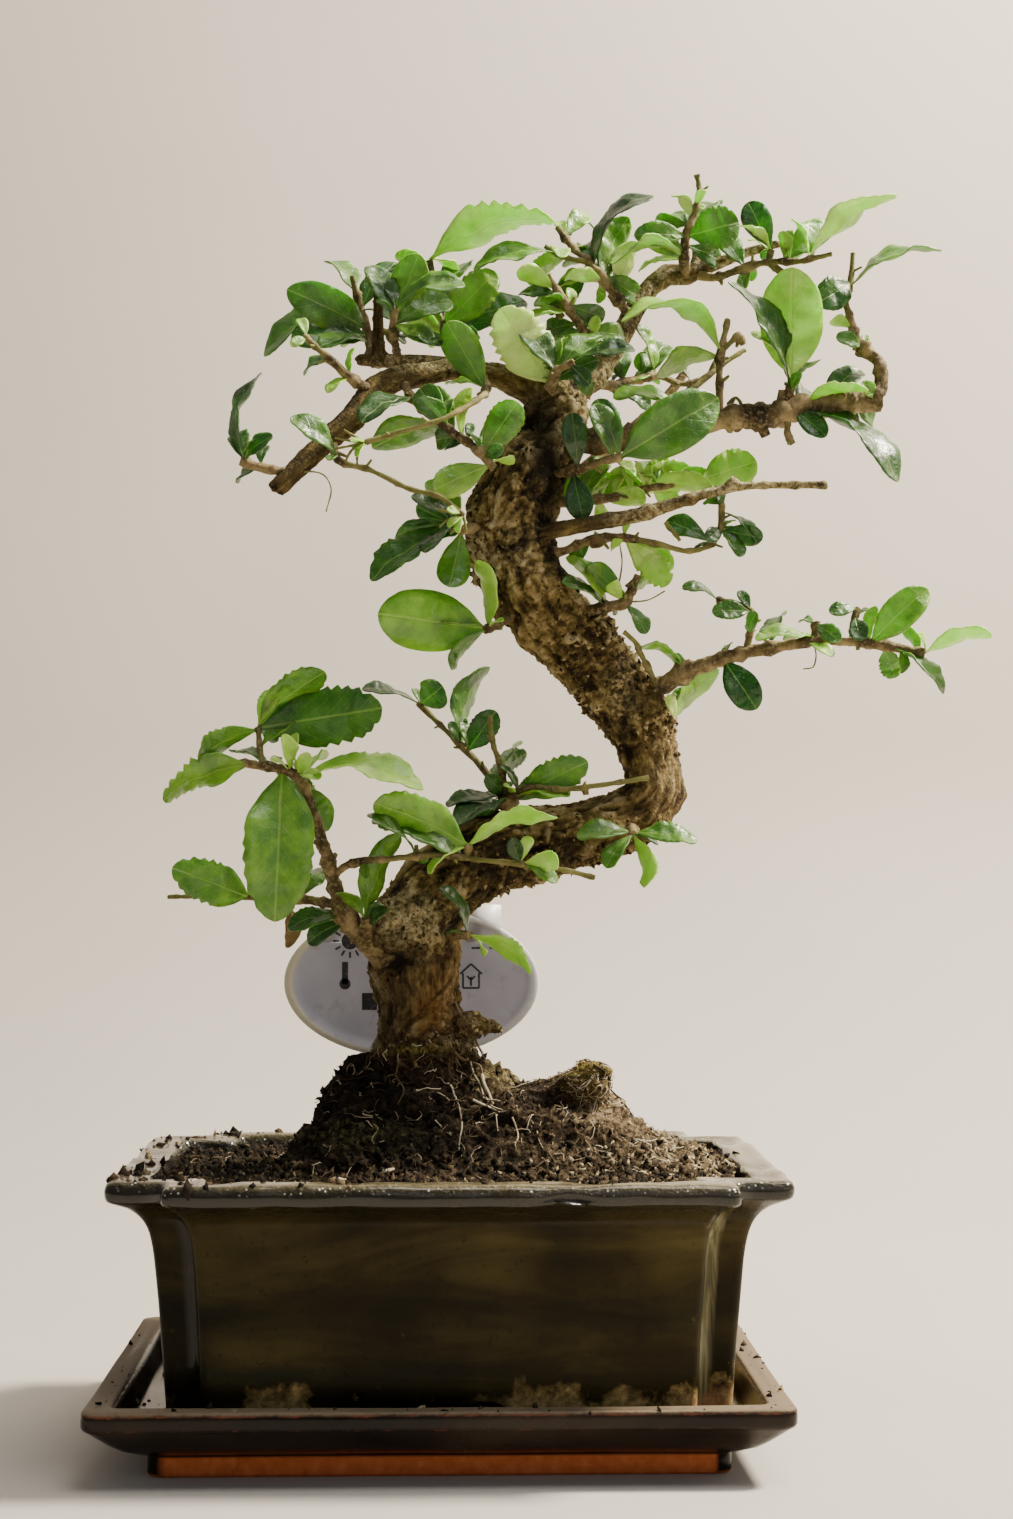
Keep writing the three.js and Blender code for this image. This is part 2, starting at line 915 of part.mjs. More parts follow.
      [645, 489, 610, 473, 14, 2, -1, 0.1, 0],
      [642, 490, 713, 488, 24, -5, -1, 0.1, 0.4],
      [652, 488, 680, 506, 20, 4, -1, 0.1, 0],
      [698, 480, 757, 462, 44, 3, -1, 0.1, 0.3],
      [660, 486, 640, 462, 18, 12, 1, 0.1, 0],
    ],
  },
  twig_curved: {
    seat: "trunk",
    stems: [
      [
        [540, 556, -5, 10],
        [562, 551, -11, 9],
        [600, 538, -14, 7],
        [640, 540, -15, 6],
        [690, 551, -15, 5],
        [710, 545, -15, 5],
        [720, 530, -15, 5],
        [722, 503, -16, 5],
      ],
    ],
    leaves: [
      [712, 543, 666, 521, 22, 5, 1, 0.1, 0],
      [721, 528, 706, 541, 16, -7, 1, 0.1, 0],
      [721, 529, 763, 538, 22, -4, 1, 0.12, 0],
      [721, 530, 741, 557, 13, -8, 1, 0.1, 0],
      [722, 512, 757, 545, 6, -3, 1, 0.14, 0],
      [722, 505, 704, 502, 8, 5, 1, 0.1, 0],
      [626, 539, 669, 584, 34, -3, -1, 0.1, 1],
      [628, 539, 611, 549, 9, -5, -1, 0.1, 0],
      [606, 538, 591, 548, 12, -6, 1, 0.1, 0],
    ],
  },
  spray_middle: {
    seat: "trunk",
    stems: [
      [
        [575, 615, -6, 13],
        [604, 607, -12, 10],
        [624, 603, -14, 8],
        [632, 591, -14, 7],
        [638, 575, -14, 6],
      ],
    ],
    leaves: [
      [608, 606, 566, 557, 14, -5, 1, 0.1, 0],
      [628, 598, 588, 566, 26, -4, -1, 0.1, 0],
      [624, 603, 611, 583, 16, -7, -1, 0.1, 0],
      [631, 593, 666, 575, 14, 8, -1, 0.1, 0],
      [606, 607, 562, 582, 10, -9, 1, 0.1, 0],
      [625, 603, 646, 634, 14, -4, 1, 0.1, 0],
      [622, 603, 640, 625, 7, 3, 1, 0.1, 0],
    ],
  },
};

const COLOURS = {
  glaze: 0x2c2a18,
  trayGlaze: 0x1b1511,
  soil: 0x3a2a1c,
  bark: 0x7a6144,
  twig: 0x6b5740,
  leafGreen: 0x5f8c30,
  label: 0xb9bab8,
};

// A place in millimetres for a point u, v of the front view at depth y.
function sight(u, v, y) {
  const ray = ahead
    .clone()
    .addScaledVector(across, (u - VIEW.middleU) / VIEW.focal)
    .addScaledVector(upward, (VIEW.middleV - v) / VIEW.focal);
  return VIEW.eye.clone().addScaledVector(ray, (y - VIEW.eye.y) / ray.y);
}

// Millimetres for one view point at depth y.
function scaleAt(y) {
  return (y - VIEW.eye.y) / (VIEW.focal * ahead.y);
}

// A manifold solid from a list of vertices and a list of triangles.
function solidFrom(vertices, triangles) {
  const geometry = new THREE.BufferGeometry();
  const flat = vertices.flatMap((p) => [p.x, p.y, p.z]);
  geometry.setAttribute("position", new THREE.Float32BufferAttribute(flat, 3));
  geometry.setIndex(triangles.flat());
  return solidOfGeometry(geometry);
}

function solidOfGeometry(geometry) {
  const plain = geometry.clone();
  plain.deleteAttribute("normal");
  plain.deleteAttribute("uv");
  const merged = mergeVertices(plain, 1e-4);
  return new wasm.Manifold(
    new wasm.Mesh({
      numProp: 3,
      vertProperties: new Float32Array(merged.attributes.position.array),
      triVerts: new Uint32Array(merged.index.array),
    }),
  );
}

// A named mesh from a manifold solid.
function meshOf(name, solid, colour, roughness) {
  const made = solid.getMesh();
  const geometry = new THREE.BufferGeometry();
  const places = [];
  for (let i = 0; i < made.numVert; i++) {
    places.push(...made.vertProperties.subarray(i * made.numProp, i * made.numProp + 3));
  }
  geometry.setAttribute("position", new THREE.Float32BufferAttribute(places, 3));
  geometry.setIndex(new THREE.BufferAttribute(made.triVerts, 1));
  const flat = geometry.toNonIndexed();
  flat.computeVertexNormals();
  const material = new THREE.MeshStandardMaterial({ color: colour, roughness, metalness: 0 });
  const mesh = new THREE.Mesh(flat, material);
  mesh.name = name;
  return mesh;
}

// A closed skin over level rings with the same number of points, listed from one end cap to the other.
function skin(rings) {
  const count = rings[0].length;
  const vertices = rings.flat();
  const triangles = [];
  for (let k = 0; k + 1 < rings.length; k++) {
    for (let i = 0; i < count; i++) {
      const a = k * count + i;
      const b = k * count + ((i + 1) % count);
      triangles.push([a, b, b + count], [a, b + count, a + count]);
    }
  }
  const last = (rings.length - 1) * count;
  for (const [start, facesUp] of [
    [0, false],
    [last, true],
  ]) {
    const outline = vertices.slice(start, start + count).map((p) => new THREE.Vector2(p.x, p.y));
    for (const [a, b, c] of THREE.ShapeUtils.triangulateShape(outline, [])) {
      const turn = outline[b].clone().sub(outline[a]).cross(outline[c].clone().sub(outline[a]));
      const upOrder = turn > 0 ? [a, b, c] : [a, c, b];
      const order = facesUp ? upOrder : upOrder.toReversed();
      triangles.push(order.map((i) => i + start));
    }
  }
  return solidFrom(vertices, triangles);
}

// The plan of the pot: two crossed oblongs with blunted corners, counter-clockwise.
function crossPlan(size, z) {
  const { sideWidth: sw, panelWidth: pw, panelDepth: pd, sideDepth: sd } = size;
  const quarter = [
    [pw, -pd],
    [pw, -sd],
    [sw, -sd],
  ];
  const mirrorX = quarter.toReversed().map(([x, y]) => [-x, y]);
  const front = [...mirrorX, ...quarter];
  const back = front.toReversed().map(([x, y]) => [x, -y]);
  const corners = [...front, ...back];
  const ring = [];
  corners.forEach(([x, y], i) => {
    const here = new THREE.Vector3(x, y, z);
    for (const step of [-1, 1]) {
      const [nx, ny] = corners[(i + step + corners.length) % corners.length];
      const along = new THREE.Vector3(nx - x, ny - y, 0).normalize();
      ring.push(here.clone().addScaledVector(along, POT.corner));
    }
  });
  return ring;
}

function blend(a, b, share) {
  const mixed = {};
  for (const key of Object.keys(a)) mixed[key] = a[key] + (b[key] - a[key]) * share;
  return mixed;
}

function inset(size, by) {
  const smaller = {};
  for (const key of Object.keys(size)) smaller[key] = size[key] - by;
  return smaller;
}

// Height and share of the way from foot size to rim size, up the outside of the pot.
const POT_OUTSIDE = [
  [POT.bottom, 0],
  [40, 0.09],
  [66, 0.24],
  [72, 0.37],
  [76, 0.6],
  [78.5, 0.97],
  [83.5, 1],
];
// Height, share and wall, down the inside.
const POT_INSIDE = [
  [83.2, 1, POT.rimLand + 1],
  [76, 0.62, POT.rimLand - 1.5],
  [66, 0.24, POT.wall],
  [POT.floorTop, 0.05, POT.wall],
];

function pot() {
  const outside = POT_OUTSIDE.map(([z, share]) => crossPlan(blend(POT.foot, POT.rim, share), z));
  const rimEdge = crossPlan(inset(POT.rim, POT.rimRound), POT.top);
  const rimInner = crossPlan(inset(POT.rim, POT.rimLand), POT.top);
  const inside = POT_INSIDE.map(([z, share, wall]) =>
    crossPlan(inset(blend(POT.foot, POT.rim, share), wall), z),
  );
  let body = skin([...outside, rimEdge, rimInner, ...inside]);
  const belowPot = POT.bottom - 5;
  const recess = [belowPot, POT.floorUnder].map((z) => crossPlan(inset(POT.foot, POT.wall), z));
  body = body.subtract(skin(recess));
  body = body.subtract(archCutter(POT.archHalfWidth, 0));
  body = body.subtract(archCutter(POT.sideArchHalfWidth, 1));
  const holeLength = 20;
  for (const side of [-1, 1]) {
    const hole = new THREE.CylinderGeometry(POT.drainRadius, POT.drainRadius, holeLength, 10);
    hole.rotateX(Math.PI / 2);
    hole.translate(side * POT.drainAcross, 0, POT.floorTop);
    body = body.subtract(solidOfGeometry(hole));
  }
  return body;
}

// The low arch cut through the skirt between the feet, right through the pot's underside.
function archCutter(halfWidth, quarterTurn) {
  const arch = new THREE.Shape();
  const low = -4;
  arch.moveTo(-halfWidth, low);
  arch.lineTo(-halfWidth, 1);
  arch.quadraticCurveTo(-halfWidth * 0.7, POT.archHeight, -halfWidth * 0.45, POT.archHeight);
  arch.lineTo(halfWidth * 0.45, POT.archHeight);
  arch.quadraticCurveTo(halfWidth * 0.7, POT.archHeight, halfWidth, 1);
  arch.lineTo(halfWidth, low);
  const reach = 220;
  const cutter = new THREE.ExtrudeGeometry(arch, { depth: reach, bevelEnabled: false, curveSegments: 2 });
  cutter.translate(0, 0, -reach / 2);
  cutter.rotateX(Math.PI / 2);
  cutter.rotateZ((quarterTurn * Math.PI) / 2);
  cutter.translate(0, 0, POT.bottom);
  return solidOfGeometry(cutter);
}

// An oblong with round corners, counter-clockwise.
function roundPlan([halfWidth, halfDepth], radius, z) {
  const ring = [];
  const cornerSteps = 3;
  for (let quarter = 0; quarter < 4; quarter++) {
    const signX = quarter === 0 || quarter === 3 ? 1 : -1;
    const signY = quarter < 2 ? 1 : -1;
    for (let i = 0; i <= cornerSteps; i++) {
      const angle = ((quarter + i / cornerSteps) * Math.PI) / 2;
      const x = TRAY.middleX + signX * (halfWidth - radius) + radius * Math.cos(angle);
      const y = signY * (halfDepth - radius) + radius * Math.sin(angle);
      ring.push(new THREE.Vector3(x, y, z));
    }
  }
  return ring;
}

function tray() {
  const wider = (size, by) => size.map((half) => half + by);
  // Outline and height, up the outside and down the inside.
  const steps = [
    [wider(TRAY.foot, 0), 0],
    [wider(TRAY.foot, 0), TRAY.footTop - 0.6],
    [wider(TRAY.foot, 3), TRAY.footTop],
    [wider(TRAY.rim, -7), TRAY.footTop + 4],
    [wider(TRAY.rim, -2), TRAY.lipBottom - 1.5],
    [wider(TRAY.rim, 0), TRAY.lipBottom],
    [wider(TRAY.rim, 0), TRAY.rimTop - 0.8],
    [wider(TRAY.rim, -0.8), TRAY.rimTop],
    [wider(TRAY.rim, -TRAY.land), TRAY.rimTop],
    [wider(TRAY.rim, -TRAY.land - 3.4), TRAY.floorTop + 1],
    [wider(TRAY.rim, -TRAY.land - 5), TRAY.floorTop],
  ];
  return skin(steps.map(([size, z]) => roundPlan(size, TRAY.corner, z)));
}

// A closed tapered tube: `route` holds places, `radii` the radius at each. Bulges give it a gnarled outline.
function tube(route, radii, sides, steps, gnarl = 0) {
  const curve = new THREE.CatmullRomCurve3(route, false, "centripetal");
  const vertices = [];
  const triangles = [];
  let side = null;
  for (let k = 0; k <= steps; k++) {
    const share = k / steps;
    const place = curve.getPoint(share);
    const along = curve.getTangent(share);
    if (!side) {
      const helper = Math.abs(along.z) < 0.9 ? new THREE.Vector3(0, 0, 1) : new THREE.Vector3(1, 0, 0);
      side = new THREE.Vector3().crossVectors(helper, along);
    }
    side.addScaledVector(along, -side.dot(along)).normalize();
    const other = new THREE.Vector3().crossVectors(along, side);
    const at = share * (radii.length - 1);
    const low = Math.min(Math.floor(at), radii.length - 2);
    const radius = radii[low] + (radii[low + 1] - radii[low]) * (at - low);
    for (let i = 0; i < sides; i++) {
      const angle = (i / sides) * Math.PI * 2;
      const bulge = Math.sin(3 * angle + 17 * share) + 0.8 * Math.sin(2 * angle - 41 * share);
      const reach = radius * (1 + gnarl * bulge);
      const point = place
        .clone()
        .addScaledVector(side, reach * Math.cos(angle))
        .addScaledVector(other, reach * Math.sin(angle));
      vertices.push(point);
    }
  }
  for (let k = 0; k < steps; k++) {
    for (let i = 0; i < sides; i++) {
      const a = k * sides + i;
      const b = k * sides + ((i + 1) % sides);
      triangles.push([a, b, b + sides], [a, b + sides, a + sides]);
    }
  }
  const lastRing = steps * sides;
  vertices.push(curve.getPoint(0), curve.getPoint(1));
  const foot = vertices.length - 2;
  for (let i = 0; i < sides; i++) {
    const next = (i + 1) % sides;
    triangles.push([foot, next, i], [foot + 1, lastRing + i, lastRing + next]);
  }
  return solidFrom(vertices, triangles);
}

// The route and radii of a stem given by rows of u, v, y and width.
function stemOf(rows) {
  const route = rows.map(([u, v, y]) => sight(u, v, y));
  const radii = rows.map(([, , y, width]) => Math.max((width / 2) * scaleAt(y), STEM_MIN_RADIUS));
  return { route, radii };
}

// Wood from rows: thick pieces get more sides. `grow` makes the same piece thicker and longer, as a cutter.
function wood(rows, { gnarl = 0, grow = 0 } = {}) {
  const { route, radii } = stemOf(rows);
  const thickest = Math.max(...radii);
  const [, sides] = STEM_SIDES.find(([radius]) => thickest > radius);
  const steps = rows.length - 1;
  if (grow) {
    const back = route[0].clone().sub(route[1]).normalize();
    route[0].addScaledVector(back, grow * 1.5);
  }
  return tube(
    route,
    radii.map((r) => r + grow),
    sides,
    steps,
    gnarl,
  );
}

function union(solids) {
  return solids.reduce((sum, solid) => sum.add(solid));
}

// The nearest place on a node's stems, as seen from the front, to a leaf's base.
function nearestOnStems(stems, u, v) {
  let best = null;
  const cuts = 12;
  for (const rows of stems) {
    for (let k = 0; k + 1 < rows.length; k++) {
      for (let i = 0; i <= cuts; i++) {
        const share = i / cuts;
        const mix = (n) => rows[k][n] + (rows[k + 1][n] - rows[k][n]) * share;
        const away = Math.hypot(mix(0) - u, mix(1) - v);
        if (!best || away < best.away) best = { away, u: mix(0), v: mix(1), y: mix(2) };
      }
    }
  }
  return best;
}

// Half outlines of a blade: share of its length and of its half width. Teeth pull the last point in, and
// a small blade has fewer points.
function bladeEdge(length, teeth) {
  if (length < LEAF.tinyLength) return { edge: [[0.6, 1]], rib: [0.55] };
  const foot = [0.36, 0.64];
  const belly = [0.66, 1];
  if (length < LEAF.smallLength) return { edge: [[0.45, 0.8], [0.8, 0.86]], rib: [0.55] };
  const notch = [0.91 - 0.05 * teeth, 0.54 - 0.16 * teeth];
  if (length < LEAF.largeLength && teeth < 0.6) return { edge: [foot, belly, notch], rib: [0.6] };
  return { edge: [foot, belly, [0.82 + 0.02 * teeth, 0.82], notch], rib: [0.4, 0.74] };
}

// One leaf: a thin blade from its base to its tip, turned so that it looks as wide as it is seen, arched
// along its length and cupped across. Both faces have the same triangles.
function leaf(stems, [bu, bv, tu, tv, seen, tipBehind, face, arch, teeth]) {
  const stem = nearestOnStems(stems, bu, bv);
  const base = sight(stem.u, stem.v, stem.y);
  const tip = sight(tu, tv, stem.y + tipBehind);
  const axis = tip.clone().sub(base);
  const length = axis.length();
  axis.normalize();
  const seenHalf = (seen / 2) * scaleAt(stem.y + tipBehind / 2);
  const half = Math.max(seenHalf, (LEAF.fullness * length) / 2);
  const turn = Math.acos(Math.min(seenHalf / half, 1));
  const toViewer = VIEW.eye.clone().sub(base).normalize();
  const flat = new THREE.Vector3().crossVectors(axis, toViewer).normalize();
  const front = new THREE.Vector3().crossVectors(flat, axis).normalize();
  const sideways = flat.z < 0 || (Math.abs(flat.z) < 1e-6 && flat.x < 0) ? flat.clone().negate() : flat;
  const normal = front
    .multiplyScalar(face * Math.cos(turn))
    .addScaledVector(sideways, Math.sin(turn))
    .normalize();
  const side = new THREE.Vector3().crossVectors(axis, normal).normalize();
  const { edge, rib } = bladeEdge(length, teeth);
  const place = (share, acrossShare) =>
    base
      .clone()
      .addScaledVector(axis, share * length)
      .addScaledVector(side, acrossShare * half)
      .addScaledVector(normal, arch * length * 4 * share * (1 - share))
      .addScaledVector(normal, LEAF.cup * half * acrossShare * acrossShare);
  const right = edge.map(([share, width]) => place(share, width));
  const left = edge.map(([share, width]) => place(share, -width)).reverse();
  const ribs = rib.map((share) => place(share, 0));
  const points = [place(0, 0), ...right, place(1, 0), ...left, ...ribs];
  const rim = 2 + 2 * edge.length;
  const faces = [];
  for (let i = 0; i < rim; i++) {
    const upper = ribs.length > 1 && i > 1 && i < rim - 2;
    faces.push([i, (i + 1) % rim, upper ? rim + 1 : rim]);
  }
  if (ribs.length > 1) faces.push([2, rim + 1, rim], [rim + 1, rim - 2, rim]);
  const count = points.length;
  const vertices = [
    ...points.map((p) => p.clone().addScaledVector(normal, LEAF.halfThick)),
    ...points.map((p) => p.clone().addScaledVector(normal, -LEAF.halfThick)),
  ];
  const triangles = [];
  for (const [a, b, c] of faces) triangles.push([a, b, c], [a + count, c + count, b + count]);
  for (let i = 0; i < rim; i++) {
    const next = (i + 1) % rim;
    triangles.push([i, i + count, next + count], [i, next + count, next]);
  }
  const blade = solidFrom(vertices, triangles);
  return blade.volume() < 0 ? solidFrom(vertices, triangles.map((t) => t.toReversed())) : blade;
}

// The soil: a block with a bumpy, mounded top, trimmed to the pot's hollow.
function soilHeight(x, y) {
  const points = SOIL.mound;
  let ridge = SOIL.level;
  for (let i = 0; i + 1 < points.length; i++) {
    const [x0, z0] = points[i];
    const [x1, z1] = points[i + 1];
    if (x >= x0 && x <= x1) ridge = z0 + ((z1 - z0) * (x - x0)) / (x1 - x0);
  }
  const away = Math.min(Math.abs(y - SOIL.moundY) / SOIL.moundHalfDepth, 1);
  const fall = 1 - away * away * (3 - 2 * away);
  const crumbs = Math.sin(x * 0.9 + y * 0.5) * Math.cos(y * 0.8 - x * 0.37);
  return SOIL.level + (ridge - SOIL.level) * fall + crumbs * 0.8;
}

function soil(cutters) {
  const { columns, rows } = SOIL;
  const reachX = 96;
  const reachY = 72;
  const vertices = [];
  for (let j = 0; j <= rows; j++) {
    for (let i = 0; i <= columns; i++) {
      const x = -reachX + (2 * reachX * i) / columns;
      const y = -reachY + (2 * reachY * j) / rows;
      vertices.push(new THREE.Vector3(x, y, soilHeight(x, y)));
    }
  }
  const id = (i, j) => j * (columns + 1) + i;
  const triangles = [];
  for (let j = 0; j < rows; j++) {
    for (let i = 0; i < columns; i++) {
      triangles.push([id(i, j), id(i + 1, j), id(i + 1, j + 1)]);
      triangles.push([id(i, j), id(i + 1, j + 1), id(i, j + 1)]);
    }
  }
  const edge = [];
  for (let i = 0; i < columns; i++) edge.push(id(i, 0));
  for (let j = 0; j < rows; j++) edge.push(id(columns, j));
  for (let i = columns; i > 0; i--) edge.push(id(i, rows));
  for (let j = rows; j > 0; j--) edge.push(id(0, j));
  const below = vertices.length;
  const bottom = POT.floorTop - 9;
  for (const at of edge) vertices.push(new THREE.Vector3(vertices[at].x, vertices[at].y, bottom));
  vertices.push(new THREE.Vector3(0, 0, bottom));
  const middle = vertices.length - 1;
  edge.forEach((at, i) => {
    const next = (i + 1) % edge.length;
    triangles.push([at, below + i, below + next], [at, below + next, edge[next]]);
    triangles.push([middle, below + next, below + i]);
  });
  let body = solidFrom(vertices, triangles);
  const fill = [...POT_INSIDE].reverse().map(([z, share, wall]) => {
    const level = z === POT.floorTop ? z + GAP : z;
    return crossPlan(inset(blend(POT.foot, POT.rim, share), wall + GAP), level);
  });
  const aboveMound = 130;
  const above = crossPlan(inset(POT.rim, POT.rimLand + 1 + GAP), aboveMound);
  body = body.intersect(skin([...fill, above]));
  for (const cutter of cutters) body = body.subtract(cutter);
  return largestBody(body);
}

// The largest of the pieces that cutting leaves.
function largestBody(solid) {
  return solid.decompose().reduce((a, b) => (b.volume() > a.volume() ? b : a));
}

// The plant label, standing in the soil behind the trunk: oval plate, two tabs and stake.
function labelPlate(grow = 0) {
  const [x, y, z] = LABEL.middle;
  const slab = (width, height, middleX, middleZ) => {
    const box = new THREE.BoxGeometry(width + 2 * grow, LABEL.thick + 2 * grow, height + 2 * grow);
    box.translate(middleX, y, middleZ);
    return solidOfGeometry(box);
  };
  const stakeTop = z - LABEL.halfHeight + 4;
  const stakeHeight = stakeTop - LABEL.stakeBottom;
  const stake = slab(LABEL.stakeWidth, stakeHeight, x, LABEL.stakeBottom + stakeHeight / 2);
  if (grow) return stake;
  const oval = new THREE.Shape();
  oval.absellipse(0, 0, LABEL.halfWidth, LABEL.halfHeight, 0, Math.PI * 2, false, 0);
  const settings = { depth: LABEL.thick, bevelEnabled: false, curveSegments: 12 };
  const plate = new THREE.ExtrudeGeometry(oval, settings);
  plate.translate(0, 0, -LABEL.thick / 2);
  plate.rotateX(Math.PI / 2);
  plate.translate(x, y, z);
  const tabZ = z + LABEL.halfHeight * 0.82;
  const tabs = [-1, 1].map((sign) =>
    slab(2 * LABEL.tabHalfWidth, 2 * LABEL.tabHeight, x + sign * LABEL.tabAcross, tabZ),
  );
  return union([solidOfGeometry(plate), stake, ...tabs]);
}

// The assembly, from the tray up.
const bonsai = new THREE.Group();
bonsai.add(meshOf("saucer", tray(), COLOURS.trayGlaze, 0.3));
bonsai.add(meshOf("pot", pot(), COLOURS.glaze, 0.3));

const below = [TRUNK, ...Object.values(ROOTS)];
const soilCutters = below.map((rows) => wood(rows, { gnarl: 0.05, grow: GAP + 0.1 }));
bonsai.add(meshOf("soil", soil([...soilCutters, labelPlate(GAP)]), COLOURS.soil, 0.95));
bonsai.add(meshOf("plant_label", labelPlate(), COLOURS.label, 0.5));

const carriers = {
  trunk: union([
    wood(TRUNK, { gnarl: 0.05 }),
    ...Object.values(LIMBS).map((rows) => wood(rows, { gnarl: 0.05 })),
    ...Object.values(ROOTS).map((rows) => wood(rows, { gnarl: 0.05 })),
  ]),
};
for (const [name, branch] of Object.entries(BRANCHES)) {
  const stems = branch.stems.map((rows) => wood(rows, { gnarl: 0.03 }));
  const leaves = branch.leaves.map((row) => leaf(branch.stems, row));
  carriers[branch.seat] = carriers[branch.seat].subtract(wood(branch.stems[0], { gnarl: 0.03, grow: GAP }));
  carriers[name] = union([...stems, ...leaves]);
}
for (const [name, solid] of Object.entries(carriers)) {
  const colour = name === "trunk" ? COLOURS.bark : COLOURS.leafGreen;
  bonsai.add(meshOf(name, largestBody(solid), colour, 0.7));
}

export default bonsai;
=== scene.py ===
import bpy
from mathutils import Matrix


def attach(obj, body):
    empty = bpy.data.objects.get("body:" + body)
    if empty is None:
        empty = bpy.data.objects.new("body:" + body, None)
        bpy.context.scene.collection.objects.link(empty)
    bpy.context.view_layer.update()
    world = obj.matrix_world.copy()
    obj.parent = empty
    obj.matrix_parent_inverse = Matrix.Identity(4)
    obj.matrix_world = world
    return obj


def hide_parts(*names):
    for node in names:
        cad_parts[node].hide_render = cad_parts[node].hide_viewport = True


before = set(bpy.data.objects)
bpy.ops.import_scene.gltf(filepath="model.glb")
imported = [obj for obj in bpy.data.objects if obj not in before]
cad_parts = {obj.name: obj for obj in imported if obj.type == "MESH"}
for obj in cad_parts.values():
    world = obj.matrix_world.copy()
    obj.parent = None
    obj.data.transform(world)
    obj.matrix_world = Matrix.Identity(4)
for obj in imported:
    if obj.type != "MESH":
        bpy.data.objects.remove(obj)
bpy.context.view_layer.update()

import functools
import math
import random

import bmesh
import bpy
import numpy
from mathutils import Matrix, Vector, noise
from mathutils.bvhtree import BVHTree
from mathutils.kdtree import KDTree

mm = 0.001
scene = bpy.context.scene


# small helpers for node trees


def addNode(tree, kind, inputs=None, **settings):
    made = tree.nodes.new(kind)
    for name, value in settings.items():
        setattr(made, name, value)
    for key, value in (inputs or {}).items():
        feed(tree, made.inputs[key], value)
    return made


def geo(tree, kind, inputs=None, **settings):
    return addNode(tree, "GeometryNode" + kind, inputs, **settings).outputs[0]


def feed(tree, socket, value):
    if isinstance(value, bpy.types.NodeSocket):
        tree.links.new(value, socket)
    elif value is not None:
        socket.default_value = value


def treeOf(values):
    # the tree that the first socket among the values belongs to
    return next(value.id_data for value in values if isinstance(value, bpy.types.NodeSocket))


def calc(operation, *values, clamp=False):
    inputs = dict(enumerate(values))
    made = addNode(treeOf(values), "ShaderNodeMath", inputs, operation=operation, use_clamp=clamp)
    return made.outputs[0]


mul, add = functools.partial(calc, "MULTIPLY"), functools.partial(calc, "ADD")
sub, mulAdd = functools.partial(calc, "SUBTRACT"), functools.partial(calc, "MULTIPLY_ADD")
masked = functools.partial(calc, "MULTIPLY", clamp=True)


def vcalc(operation, first, second=None, scale=None):
    inputs = {0: first, 1: second} if scale is None else {0: first, "Scale": scale}
    return addNode(first.id_data, "ShaderNodeVectorMath", inputs, operation=operation).outputs[0]


def remap(value, low, high, toLow=0.0, toHigh=1.0, smooth=False):
    kind = "SMOOTHSTEP" if smooth else "LINEAR"
    inputs = {0: value, 1: low, 2: high, 3: toLow, 4: toHigh}
    return addNode(value.id_data, "ShaderNodeMapRange", inputs, interpolation_type=kind).outputs[0]


def tint(share, first, second, kind="MIX"):
    inputs = {0: share, 6: first, 7: second}
    tree = treeOf(inputs.values())
    return addNode(tree, "ShaderNodeMix", inputs, data_type="RGBA", blend_type=kind).outputs[2]


def ramp(value, stops):
    made = addNode(value.id_data, "ShaderNodeValToRGB", {0: value})
    while len(made.color_ramp.elements) < len(stops):
        made.color_ramp.elements.new(0.5)
    for element, (place, colour) in zip(made.color_ramp.elements, stops):
        element.position = place
        element.color = colour
    return made.outputs[0]


def cloud(place, scale, detail=4.0, roughness=0.55, distortion=0.0):
    inputs = {"Vector": place, "Scale": scale, "Detail": detail, "Roughness": roughness}
    inputs["Distortion"] = distortion
    return addNode(place.id_data, "ShaderNodeTexNoise", inputs).outputs[0]


def cells(place, scale, feature="F1"):
    return addNode(place.id_data, "ShaderNodeTexVoronoi", {"Vector": place, "Scale": scale},
        feature=feature).outputs["Distance"]


def stretch(place, amounts):
    return vcalc("MULTIPLY", place, amounts)


def rgb(red, green, blue):
    # screen values 0 to 255 as the linear colour that a shader takes
    linear = [((c / 255 + 0.055) / 1.055) ** 2.4 if c > 10 else c / 3295 for c in (red, green, blue)]
    return (*linear, 1.0)


socketKinds = {"value": "NodeSocketFloat", "colour": "NodeSocketColor", "vector": "NodeSocketVector"}
socketKinds |= {"geometry": "NodeSocketGeometry", "count": "NodeSocketInt", "material": "NodeSocketMaterial"}


def newTree(kind, name, inputs, outputs):
    # inputs: name -> (kind, default); outputs: name -> kind
    tree = bpy.data.node_groups.new(name, kind)
    for label, (socket, default) in inputs.items():
        made = tree.interface.new_socket(label, in_out="INPUT", socket_type=socketKinds[socket])
        if default is not None:
            made.default_value = default
    for label, socket in outputs.items():
        tree.interface.new_socket(label, in_out="OUTPUT", socket_type=socketKinds[socket])
    given = tree.nodes.new("NodeGroupInput").outputs
    return tree, given, tree.nodes.new("NodeGroupOutput").inputs


def newMaterial(name, shown, **plain):
    # plain: constants set on the shader's own sockets
    made = bpy.data.materials.new(name)
    made.use_nodes = True
    made.diffuse_color = shown
    tree = made.node_tree
    shader = tree.nodes["Principled BSDF"]
    for key, value in plain.items():
        shader.inputs[key.replace("_", " ")].default_value = value
    place = addNode(tree, "ShaderNodeTexCoord").outputs["Object"]
    return made, tree, shader, place


def newGeometry(name, **inputs):
    inputs["Material"] = ("material", None)
    return newTree("GeometryNodeTree", name, inputs, {"Geometry": "geometry"})


def newSurface(name, **inputs):
    outputs = {"Colour": "colour", "Roughness": "value", "Height": "value"}
    return newTree("ShaderNodeTree", name, inputs, outputs)


